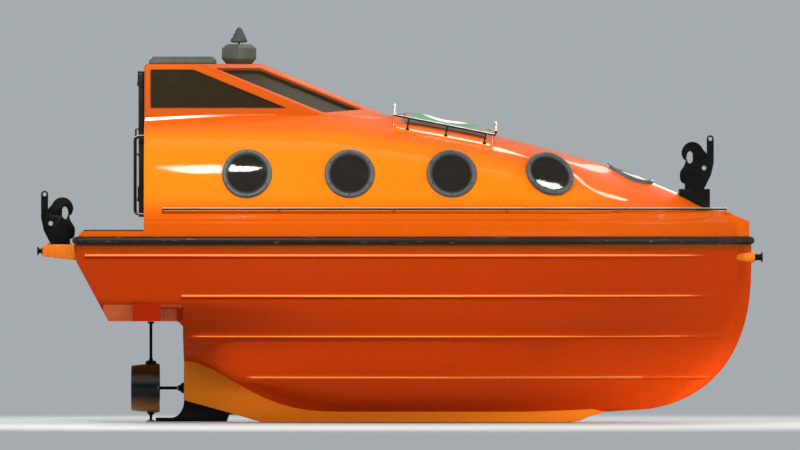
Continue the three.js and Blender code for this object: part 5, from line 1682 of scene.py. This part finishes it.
hatch_levels = [(3, 2023), (0, 2026), (0, 2049), (1.5, 2052), (18, 2071), (22, 2073.5), (60, 2073.5), (66, 2070), (90, 2070)]
roof_lid = ring_loft("roof_lid_moulding", [hatch_ring(i, z) for i, z in hatch_levels], finish=hatch_plastic)
dressed(shade(roof_lid, 40), hatch_plastic, "roof_lid", ["roof_hatch_lid"])
coaming = ring_loft("roof_coaming", [hatch_ring(42, 2016), hatch_ring(42, 2019), hatch_ring(45, 2021.5)], finish=gasket_rubber)
cut(coaming, block("roof_way", (-1909, -1532), (-230, 230), (1950, 2100)))
dressed(coaming, gasket_rubber)
for k, y in enumerate((-190, 190), 1):
    barrel = turned("pin", [(0, -30), (3.4, -30), (4.3, -29), (4.3, 29), (3.4, 30), (0, 30)], (-1969, y, 2023), (0, 1, 0),
                    black_steel, sides=16)
    dressed(barrel, black_steel, "roof_lid")
    barrel.name = f"roof_hinge_{k}"
print("roof hatch:", len(roof_lid.data.polygons), "faces")

# %% Reflector and lamp
MAST_X = -1302


def diamond(radius, z):
    corners = [(MAST_X - radius, 0, z), (MAST_X, -radius, z), (MAST_X + radius, 0, z), (MAST_X, radius, z)]
    return [c for a, b in zip(corners, corners[1:] + corners[:1]) for c in (a, tuple((p + q) / 2 for p, q in zip(a, b)))]


reflector = ring_loft("reflector_box", [diamond(r, z) for r, z in [(95, 2018.3), (130, 2059), (130, 2136), (92, 2169)]],
                      finish=hatch_plastic)
rounded(reflector, 3.5, 2, degrees=20)
dressed(shade(reflector, 24), hatch_plastic, stands_for=["radar_reflector"])
lamp_profile = [
    (0, 2169.3), (9, 2169.3), (8, 2171), (8, 2178), (10, 2179.5), (44, 2179.5), (54, 2181.5), (61, 2186), (64, 2193),
    (63.5, 2199), (60, 2207), (25, 2277), (20, 2285), (13, 2291), (6, 2294.3), (0, 2295),
]
lamp = turned("lamp_lens", lamp_profile, (MAST_X, 0, 0), (0, 0, 1), lamp_plastic, sides=48)
dressed(lamp, lamp_plastic, stands_for=["canopy_light"])
print("reflector:", len(reflector.data.polygons), "faces")

# %% [markdown]
# ## Foredeck hatch
# A raised frame follows the curve of the deck, and a wide lid lies on it, with a deep skirt along its sides. The lid
# is grey with loose sweeping bands of green, white and a thin red, which are plain decoration. They are painted by
# the finish from the lid's own coordinates, so they stay in place when it opens. Each band is what shows of a flat
# oval round the lid's middle line, with the next oval painted over it.

# %% Finish of the lid
LID_HALF = 600
lid_paint = Finish("lid_paint", "lid_paint", Coat_Weight=0.1, Coat_Roughness=0.15, Specular_IOR_Level=0.3)
along_lid = lid_paint.axis("X")
off_middle = lid_paint.node("ShaderNodeMath", {"operation": "ABSOLUTE"}, {0: lid_paint.axis("Y")})
clouds = lid_paint.noise(12.0, 5.0)
brush = lid_paint.noise(9.0, 3.0, stretch=(1, 5, 1))


def inside_oval(middle, half, swing):
    along = (along_lid - middle) * (1 / half)
    out = off_middle * (1 / swing)
    return (1.0 - along * along - out * out + (brush - 0.5) * 0.12).between(-0.02, 0.02)


LID_GREY = (colour(0.13, 0.125, 0.11), colour(0.19, 0.18, 0.16))
OVALS = [
    # one shade, another, and the oval: middle, half its length, how far it swings out
    (colour(0.008, 0.13, 0.04), colour(0.05, 0.27, 0.13), (0.23, 0.265, 0.74)),
    (colour(0.72, 0.74, 0.72), colour(0.8, 0.8, 0.79), (0.237, 0.187, 0.52)),
    (colour(0.42, 0.01, 0.035), colour(0.5, 0.03, 0.07), (0.229, 0.13, 0.36)),
    (colour(0.45, 0.42, 0.42), colour(0.35, 0.33, 0.33), (0.23, 0.09, 0.16)),
]
lid_shade = lid_paint.mix(clouds, *LID_GREY)
for one, another, oval in OVALS:
    lid_shade = lid_paint.mix(inside_oval(*oval), lid_shade, lid_paint.mix(brush, one, another))
skirt = off_middle.between(LID_HALF * MM - 0.009, LID_HALF * MM - 0.004)
lid_shade = lid_paint.mix(skirt, lid_shade, lid_paint.mix(clouds, colour(0.045, 0.043, 0.038), colour(0.064, 0.062, 0.055)))
grain = lid_paint.noise(380.0, 2.0)
lid_paint.feed(
    Base_Color=lid_paint.mix(grain * 0.15, lid_shade, colour(0.08, 0.09, 0.09)),
    Roughness=clouds * 0.12 + grain * 0.08 + 0.3,
    Normal=lid_paint.bump(grain, 0.0004, 0.2),
)
print("lid finish ready")


# %% Panels that are bent to the deck
def deck_normal(x, y):
    """The way up out of the deck."""
    slope_x = (deck_at(x + 5, y) - deck_at(x - 5, y)) / 10
    slope_y = (deck_at(x, y + 5) - deck_at(x, y - 5)) / 10
    return tuple(Vector((-slope_x, -slope_y, 1)).normalized())


def deck_panel(name, x, y, low, high, finish, edge=0.0):
    """A panel over the deck between two heights, which may change with the breadth."""

    def row(at_x, up):
        return [(at_x, at_y, deck_at(at_x, at_y) + up(abs(at_y))) for at_y in spread(*y, columns)]

    columns = max(2, round(abs(y[1] - y[0]) / 24))
    lengths = spread(*x, max(2, round((x[1] - x[0]) / 25)))
    top = [row(at_x, high) for at_x in lengths]
    under = [row(at_x, low) for at_x in lengths]
    ends = [[top[k], under[k]] for k in (0, -1)]
    sides = [[[r[k] for r in top], [r[k] for r in under]] for k in (0, -1)]
    if edge:
        return moulding(name, [top, under] + ends + sides, finish, edge, turn=40)
    return to_object(welded([top, under] + ends + sides), name, finish)


plinth = deck_panel("deck_hatch_frame", (-150, 588), (-745, 745), lambda y: -3, lambda y: 14, canopy_gelcoat, 5)
cut(plinth, block("deck_way", (10, 470), (-300, 300), (1300, 1800)))
dressed(shade(plinth), canopy_gelcoat, stands_for=["deck_hatch_plinth"])
SEAL_STRIPS = [
    # x, y
    ((2, 10), (-308, 308)), ((470, 478), (-308, 308)), ((10, 470), (-308, -300)), ((10, 470), (300, 308)),
]
seal = [deck_panel("strip", x, y, lambda y: 12.5, lambda y: 17.5, gasket_rubber) for x, y in SEAL_STRIPS]
dressed(joined("deck_hatch_seal", seal), gasket_rubber)

# %% Lid with its hinges and clips
LID_X = (-66, 548)
LID_PIVOT_Z = 1643
lid = deck_panel("deck_lid_moulding", LID_X, (-LID_HALF, LID_HALF), lambda y: 20,
                 lambda y: 44 + 18 * y / LID_HALF, lid_paint, 8)
corners = [(LID_X[0], -LID_HALF, 1300), (LID_X[1], -LID_HALF, 1300), (LID_X[1], LID_HALF, 1300), (LID_X[0], LID_HALF, 1300)]
cut(lid, plate("rounder", eased(corners, 30, 6), (0, 0, 1), 0, 600), how="INTERSECT")
dressed(shade(lid), lid_paint, "deck_lid", ["deck_hatch_lid"])
HINGE = [(0, -32), (7, -32), (8, -30), (8, 30), (7, 32), (0, 32)]
for k, y in enumerate((-180, 0, 180), 1):
    pin = turned(f"deck_hinge_{k}", HINGE, (LID_X[0], y, LID_PIVOT_Z), (0, 1, 0), black_steel, sides=16)
    dressed(pin, black_steel, "deck_lid")
    leaf = deck_panel(f"deck_hinge_leaf_{k}", (-124, -86), (y - 30, y + 30), lambda _: 13.5, lambda _: 18, black_steel, 1.5)
    dressed(leaf, black_steel)
CLIP_HUB = [(0, 0), (18, 0), (18, 4), (14, 6), (0, 6)]
for k, y in enumerate((-420, 420), 1):
    up = 44 + 18 * abs(y) / LID_HALF
    hub = turned("hub", CLIP_HUB, (522, y, deck_at(522, y) + up - 1), deck_normal(522, y), lid_paint, sides=24)
    arm = deck_panel("arm", (516, 582), (y - 10, y + 10), lambda _: up + 0.5, lambda _: up + 4.5, lid_paint, 1.5)
    dressed(joined(f"deck_lid_clip_{k}", [hub, arm]), lid_paint, "deck_lid")
print("lid:", len(lid.data.polygons), "faces")

# %% [markdown]
# ## Guard rail of the hatch and the side rails
# Stainless tube again. The guard has a hoop fore and aft and a bar down each side, on short dark posts; the side
# rails run the length of the cabin a hand's breadth off its side, with their aft tips bent in.

# %% Guard rail
GUARD_HALF = 705
GUARD_AFT = (-141, 1637, 1718)
GUARD_FORE = (611, 1486, 1584)
GUARD_POSTS_X = (-36, 249, 535)
HOOP_IN = 30
POST_FOOT = [(0, 0), (15, 0), (15, 2.5), (12, 5), (7.5, 7), (6, 12), (0, 12)]
GUARD_POST_LEAN = (-12, 14)
hoops, bars = [], []
for x, low, top in (GUARD_AFT, GUARD_FORE):
    half, inner = GUARD_HALF, GUARD_HALF - HOOP_IN
    hoop = [(x, -half, low), (x, -inner, top - 6), (x, 0, top + 6), (x, inner, top - 6), (x, half, low)]
    hoops.append(tube("hoop", eased(hoop, [0, 40, 300, 40, 0], 8), 8, bright_tube, 14))
posts = []
for sign in (-1, 1):
    y = sign * GUARD_HALF
    bar = [(GUARD_AFT[0] - 6, y, GUARD_AFT[1]), (GUARD_FORE[0], y, GUARD_FORE[1]), (GUARD_FORE[0], y, GUARD_FORE[1] + 34)]
    bars.append(tube("bar", eased(bar, [0, 26, 0], 6), 8.3, stainless, 14))
    for x in GUARD_POSTS_X:
        share = (x - GUARD_AFT[0]) / (GUARD_FORE[0] - GUARD_AFT[0])
        z = GUARD_AFT[1] + (GUARD_FORE[1] - GUARD_AFT[1]) * share
        foot_x, foot_y = x + GUARD_POST_LEAN[0], sign * (GUARD_HALF + GUARD_POST_LEAN[1])
        ground = deck_at(foot_x, foot_y) + 14
        posts.append(tube("post", [(x, y, z - 6), (foot_x, foot_y, ground)], 6, black_steel, 12))
        posts.append(turned("foot", POST_FOOT, (foot_x, foot_y, ground - 1), deck_normal(foot_x, foot_y), sides=24))
dressed(joined("guard_rail_hoops", hoops), bright_tube, stands_for=["hatch_guard_rail"])
dressed(joined("guard_rail_bars", bars), stainless)
dressed(joined("guard_rail_posts", posts), black_steel)
print("guard rail of", len(hoops) + len(bars) + len(posts), "parts")

# %% Side rails
SIDE_RAIL_Z = 940
SIDE_RAIL_OFF = 45
SIDE_POSTS_X = (-1861, -998, -143, 695, 1516, 2330)
SIDE_FOOT = [(0, 0), (13, 0), (13, 3), (10, 5), (6, 6), (0, 6)]
for side_name, sign in (("stbd", -1), ("port", 1)):
    line = []
    for x in spread(SIDE_POSTS_X[0], SIDE_POSTS_X[-1], 70):
        line.append((x, sign * (side_at(x, SIDE_RAIL_Z)[0] + SIDE_RAIL_OFF), SIDE_RAIL_Z))
    bar = tube("bar", line, 9.5, stainless, 14)
    dressed(bar, stainless, stands_for=["side_rail_" + side_name])
    bar.name = "side_rail_tube_" + side_name
    posts, feet = [], []
    for x in SIDE_POSTS_X[:-1]:
        y, lean = side_at(x, SIDE_RAIL_Z - 22)
        top = (x, sign * (side_at(x, SIDE_RAIL_Z)[0] + SIDE_RAIL_OFF), SIDE_RAIL_Z)
        post = eased([top, (x, sign * (y + 22), SIDE_RAIL_Z - 22), (x, sign * (y - 3), SIDE_RAIL_Z - 22)], [0, 12, 0])
        posts.append(tube("post", post, 6, canopy_gelcoat, 12))
        out = (0, sign, math.tan(lean))
        feet.append(turned("foot", SIDE_FOOT, (x, sign * (y - 1), SIDE_RAIL_Z - 22), out, canopy_gelcoat, sides=24))
    x, y, z = line[-1]
    posts.append(tube("post", [(x, y, z), (x, y, ledge_at(x) - 4)], 6, canopy_gelcoat, 12))
    feet.append(turned("foot", SIDE_FOOT, (x, y, ledge_at(x) - 2), (0, 0, 1), canopy_gelcoat, sides=24))
    dressed(joined("side_rail_posts_" + side_name, posts + feet), canopy_gelcoat)
print("side rails with", len(SIDE_POSTS_X), "posts each")

# %% [markdown]
# ## Bracket, fairlead and spools
# The stern bracket carries the aft hook. A spool for lines stands aft of it, and another in front of the fairlead at
# the stem. The bracket is a plate with rounded edges and a bolted flange; the spools and the fairlead are turned.

# %% Stern bracket and its spool
BRACKET_TOP = 676
BRACKET_SIDE = [(-2766, 588), (-2766, 660), (-2750, BRACKET_TOP - 0.3), (-2503.5, BRACKET_TOP - 0.3), (-2503.5, 556)]
bracket = side_plate("stern_bracket_box", BRACKET_SIDE, -90, 90, bracket_gelcoat, 6, 3)
dressed(bracket, bracket_gelcoat, stands_for=["stern_bracket"])
bolts = []
bolt = [(0, 0), (9, 0), (9, 5.5), (7.5, 7), (0, 7)]
for y in (-62, 62):
    for x in (-2720, -2640, -2560):
        bolts.append(turned("bolt", bolt, (x, y, BRACKET_TOP - 0.5), (0, 0, 1), black_steel, sides=6))
bolts += [turned("bolt", bolt, (-2766, y, z), (-1, 0, 0), sides=6) for y in (-62, 62) for z in (606, 646)]
dressed(joined("stern_bracket_bolts", bolts), black_steel)
SPOOL = [(0, 0.3), (18, 0.3), (18, 4), (16.5, 10), (16, 18), (17, 24), (20, 28), (29, 31), (32, 33), (32, 39), (30, 41.3), (8, 41.3), (7, 38), (0, 38)]
dressed(turned("stern_spool_drum", SPOOL, (-2766, 0, 627), (-1, 0, 0), black_steel, sides=40), black_steel,
        stands_for=["stern_spool"])
print("stern bracket with", len(bolts), "bolts")

# %% Fairlead and bow spool
FAIRLEAD_Z = 580
FAIRLEAD_TIP_X = 2544
fairlead_side = [(0, 2325)] + [(41 * math.sin(t), 2365 - 40 * math.cos(t)) for t in spread(0.25, math.pi / 2, 9)]
fairlead_side += [(41, 2440), (41, 2532), (40, 2538), (37, 2542), (32, FAIRLEAD_TIP_X), (0, FAIRLEAD_TIP_X)]
fairlead = turned("fairlead_tube", fairlead_side, (0, 0, FAIRLEAD_Z), (1, 0, 0), bracket_gelcoat, sides=56)
cut(fairlead, copy_of(hull_solid), copy_of(hull_solid, move=(0.4, 0, 0)))
dressed(shade(fairlead, 40), bracket_gelcoat, stands_for=["bow_fairlead"])
BOW_SPOOL = [(0, 0.3), (26, 0.3), (26, 5), (24, 12), (23, 26), (24, 40), (27, 46), (36, 49), (39, 51), (39, 56), (37, 58), (10, 58), (9, 54), (0, 54)]
dressed(turned("bow_spool_drum", BOW_SPOOL, (FAIRLEAD_TIP_X, 0, FAIRLEAD_Z), (1, 0, 0), black_steel, sides=40), black_steel,
        stands_for=["bow_spool"])
print("fairlead:", len(fairlead.data.polygons), "faces")

# %% [markdown]
# ## Lifting hooks
# Two steel cheeks, cut from plate, stand on a sole. The beak swings between them on a bush, and opens to let the boat
# go. Both outlines are the drawing's, with every corner eased, because flame-cut plate is ground smooth. The fore
# hook is the aft one turned round.

# %% Outlines of cheek and beak
EYE = (-46, 217)
eye_arc = [(EYE[0] + 26 * math.cos(t), EYE[1] + 27 * math.sin(t)) for t in spread(0, math.pi, 17)]
CHEEK_SOLE = [(0, -156), (144, -156), (144, -117)]
CHEEK_NOSE = [
    (159, -113), (172, -101), (179, -84), (181, -62), (180, -40), (175, -22), (165, -7), (152, 12), (143, 30),
    (139, 46), (137, 62), (132, 70), (128, 64), (125, 53), (120, 39), (109, 33), (98, 37), (89, 47), (84, 56),
    (30, 62), (-21, 75),
]
CHEEK_TAIL = [(-72, 38), (-52, -52)]
BEAK = [
    (-19, 111), (-32, 40), (-38, 0), (-27, -27), (0, -38), (40, -30), (70, -10), (85, 20), (85, 104), (89, 115),
    (96, 123), (105, 126), (113, 123), (121, 115), (127, 102), (130, 88), (131, 76), (135, 62), (143, 58),
    (153, 66), (162, 84), (168, 104), (168, 123), (159, 149), (143, 172), (120, 189), (92, 196), (63, 192),
    (40, 181), (20, 160), (6, 135),
]
CHEEK_IN, CHEEK_OUT, BEAK_HALF = 19, 33, 13
cheek_points = CHEEK_SOLE + CHEEK_NOSE + eye_arc + CHEEK_TAIL
cheek_round = [0, 3, 4] + [9] * len(CHEEK_NOSE) + [0] * len(eye_arc) + [10, 10]
cheek_line = eased([(x, 0, z) for x, z in cheek_points], cheek_round, 3)
beak_line = eased([(x, 0, z) for x, z in BEAK], 9, 3)
print("cheek and beak outlines:", len(cheek_line), len(beak_line), "points")


# %% The two hooks
def hook(name, pivot, facing):
    """One hook about its pivot: cheeks and sole on the boat, beak on its own body."""

    def put(line):
        return [(pivot[0] + facing * x, 0, pivot[1] + z) for x, _, z in line]

    def hub(at, radius, low, high):
        place = (pivot[0] + facing * at[0], 0, pivot[1] + at[1])
        return turned("hub", [(0, low), (radius, low), (radius, high), (0, high)], place, (0, 1, 0), sides=40)

    cheeks = [plate("cheek", put(cheek_line), (0, 1, 0), *span, black_steel, 2.4) for span in
              ((-CHEEK_OUT, -CHEEK_IN), (CHEEK_IN, CHEEK_OUT))]
    sole = [(0, 0, -156), (144, 0, -156), (144, 0, -110), (-22, 0, -110)]
    cheeks.append(plate("sole", put(sole), (0, 1, 0), -CHEEK_OUT, CHEEK_OUT, None, 2.4))
    cut(cheeks[0], *cheeks[1:], hub((0, 0), 24, -CHEEK_OUT, CHEEK_OUT), how="UNION")
    made = cheeks[0]
    cut(made, hub((0, 0), 17, -60, 60), hub(EYE, 15, -60, 60))
    dressed(shade(made, 40), black_steel, stands_for=[f"{name}_hook_frame"])
    made.name = f"{name}_hook_cheeks"
    beak = plate(f"{name}_hook_jaw", put(beak_line), (0, 1, 0), -BEAK_HALF, BEAK_HALF, black_steel, 3.2, 3)
    cut(beak, hub((0, 0), 24.7, -60, 60))
    dressed(shade(beak, 40), black_steel, f"{name}_beak", [f"{name}_hook_beak"])
    bolts = []
    for x, z in ((60, -78), (118, -78), (118, -10)):
        for side in (-1, 1):
            place = (pivot[0] + facing * x, side * CHEEK_OUT, pivot[1] + z)
            head = [(0, -1), (11, -1), (11, 5), (9.5, 7), (0, 7)]
            bolts.append(turned("bolt", head, place, (0, side, 0), black_steel, sides=6))
    washers = [turned("washer", [(17.2, 32), (30, 32), (30, 35), (28.5, 36.5), (17.2, 36.5), (17.2, 32)],
                      (pivot[0], 0, pivot[1]), (0, side, 0), sides=36) for side in (-1, 1)]
    dressed(joined(f"{name}_hook_bolts", bolts + washers), black_steel)
    return made


aft_hook = hook("aft", (-2706, BRACKET_TOP + 156), 1)
fore_hook = hook("fore", (2165, 1245), -1)
FORE_FOOT = [(1977, 1020), (1977, 1088.7), (2208, 1088.7), (2208, 900), (2100, 900)]
foot = side_plate("fore_hook_foot", FORE_FOOT, -75, 75, black_steel, 3)
cut(foot, copy_of(canopy_solid, move=(0, 0, 0.3)))
dressed(shade(foot), black_steel, stands_for=["fore_hook_plinth"])
print("hooks:", len(aft_hook.data.polygons), "faces each")

# %% [markdown]
# ## Nozzle, propeller and shaft
# The propeller turns inside a nozzle, and the whole nozzle swings on a stock to steer the boat. The nozzle is turned
# from its foil section. A propeller blade is a row of foil sections, each twisted to its pitch and wider in the
# middle, which is how a founder's pattern is made too.

# %% Nozzle on its stock
SHAFT_Z = -395
NOZZLE_SECTION = [
    (150, -142), (152, -145), (158, -146.5), (164, -146), (168, -143), (171, -120), (175, -80), (178.5, -38), (182, 4), (184.3, 40), (183.6, 52),
    (181, 61), (176, 65.5), (170, 66.3), (163, 63), (157.5, 57), (151, 38), (147.5, 18), (147, -20), (148, -80), (149, -120),
]
nozzle_parts = [turned("shroud", NOZZLE_SECTION, (NOZZLE_X, 0, SHAFT_Z), (1, 0, 0), nozzle_paint, sides=96, close=True)]
STOCK = [(0, -235), (11, -235), (11, 84), (15, 84), (23, 86), (24, 88), (24, 98), (22, 100), (0, 100)]
stock_parts = [turned("stock", STOCK, (NOZZLE_X, 0, 0), (0, 0, 1), black_steel, sides=32)]
BOSS = [(0, -224), (42, -224), (44, -219), (40, -214), (40, -199), (37, -195), (20, -193), (14, -180), (12, -170), (0, -170)]
stock_parts.append(turned("boss", BOSS, (NOZZLE_X, 0, 0), (0, 0, 1), sides=40))
PINTLE = [(0, -243), (22, -243), (22, -238), (10, -235), (11, -203), (28, -188), (30, -184), (30, -158), (0, -158)]
stock_parts.append(turned("pintle", PINTLE, (NOZZLE_X, 0, SHAFT_Z), (0, 0, 1), sides=36))
dressed(joined("nozzle_stock", stock_parts), black_steel, "nozzle")
nozzle = joined("nozzle_shroud", nozzle_parts)
dressed(nozzle, nozzle_paint, "nozzle", ["steering_nozzle"])
ring_bolts = []
for k in range(8):
    turn = 2 * math.pi * (k + 0.5) / 8
    place = (NOZZLE_X + 31 * math.cos(turn), 31 * math.sin(turn), -195)
    ring_bolts.append(turned("bolt", [(0, -1), (5, -1), (5, 4), (4, 5), (0, 5)], place, (0, 0, 1), stainless, sides=6))
dressed(joined("nozzle_boss_bolts", ring_bolts), stainless, "nozzle")
print("nozzle:", len(nozzle.data.polygons), "faces")

# %% Propeller and its shaft
PROP_X = NOZZLE_X - 14
BLADES = 4
BLADE_ROWS = [
    # radius, half chord, twist, half thickness
    (20, 30, 0.95, 6.0), (34, 36, 0.87, 5.6), (52, 43, 0.78, 4.8), (72, 47.5, 0.68, 4.0), (92, 48.5, 0.59, 3.2),
    (110, 43.5, 0.51, 2.5), (123, 34, 0.465, 1.9), (130, 24, 0.44, 1.5), (134, 12, 0.42, 1.0),
]
foil = [(math.cos(t), math.sin(t) * (0.75 + 0.25 * math.cos(t))) for t in [2 * math.pi * k / 28 for k in range(28)]]
HUB = [(0, -62), (6, -61), (13, -56), (20, -46), (25, -32), (27.5, -10), (28, 30), (26, 39), (22, 41), (0, 41)]
prop_parts = [turned("hub", HUB, (PROP_X, 0, SHAFT_Z), (1, 0, 0), bronze, sides=48)]
for k in range(BLADES):
    turn = 2 * math.pi * k / BLADES
    rings = []
    for radius, chord, twist, thick in BLADE_ROWS:
        ring = []
        for u, v in foil:
            a, b = u * chord, v * thick + 5 * (1 - u * u) - 2.5
            x, y, z = a * math.sin(twist) + b * math.cos(twist), a * math.cos(twist) - b * math.sin(twist), radius
            ring.append((PROP_X + x, y * math.cos(turn) - z * math.sin(turn), SHAFT_Z + y * math.sin(turn) + z * math.cos(turn)))
        rings.append(ring)
    prop_parts.append(ring_loft("blade", rings))
SHAFT_END_X = -1760
shaft = [(0, 20), (12, 20), (12, SHAFT_END_X - PROP_X), (0, SHAFT_END_X - PROP_X)]
dressed(turned("propeller_shaft", shaft, (PROP_X, 0, SHAFT_Z), (1, 0, 0), black_steel, sides=28), black_steel, "screw")
propeller = dressed(shade(joined("propeller_casting", prop_parts), 40), bronze, "screw", ["propeller"])
TUBE_END = [(0, 2), (19, 2), (21, 4), (21, 18), (25, 21), (31, 24), (40, 36), (40.5, 46), (0, 46)]
tube_end = turned("stern_tube_gland", TUBE_END, (SHAFT_END_X, 0, SHAFT_Z), (1, 0, 0), black_steel, sides=44)
dressed(tube_end, black_steel, stands_for=["stern_tube"])
print("propeller:", len(propeller.data.polygons), "faces")

# %% [markdown]
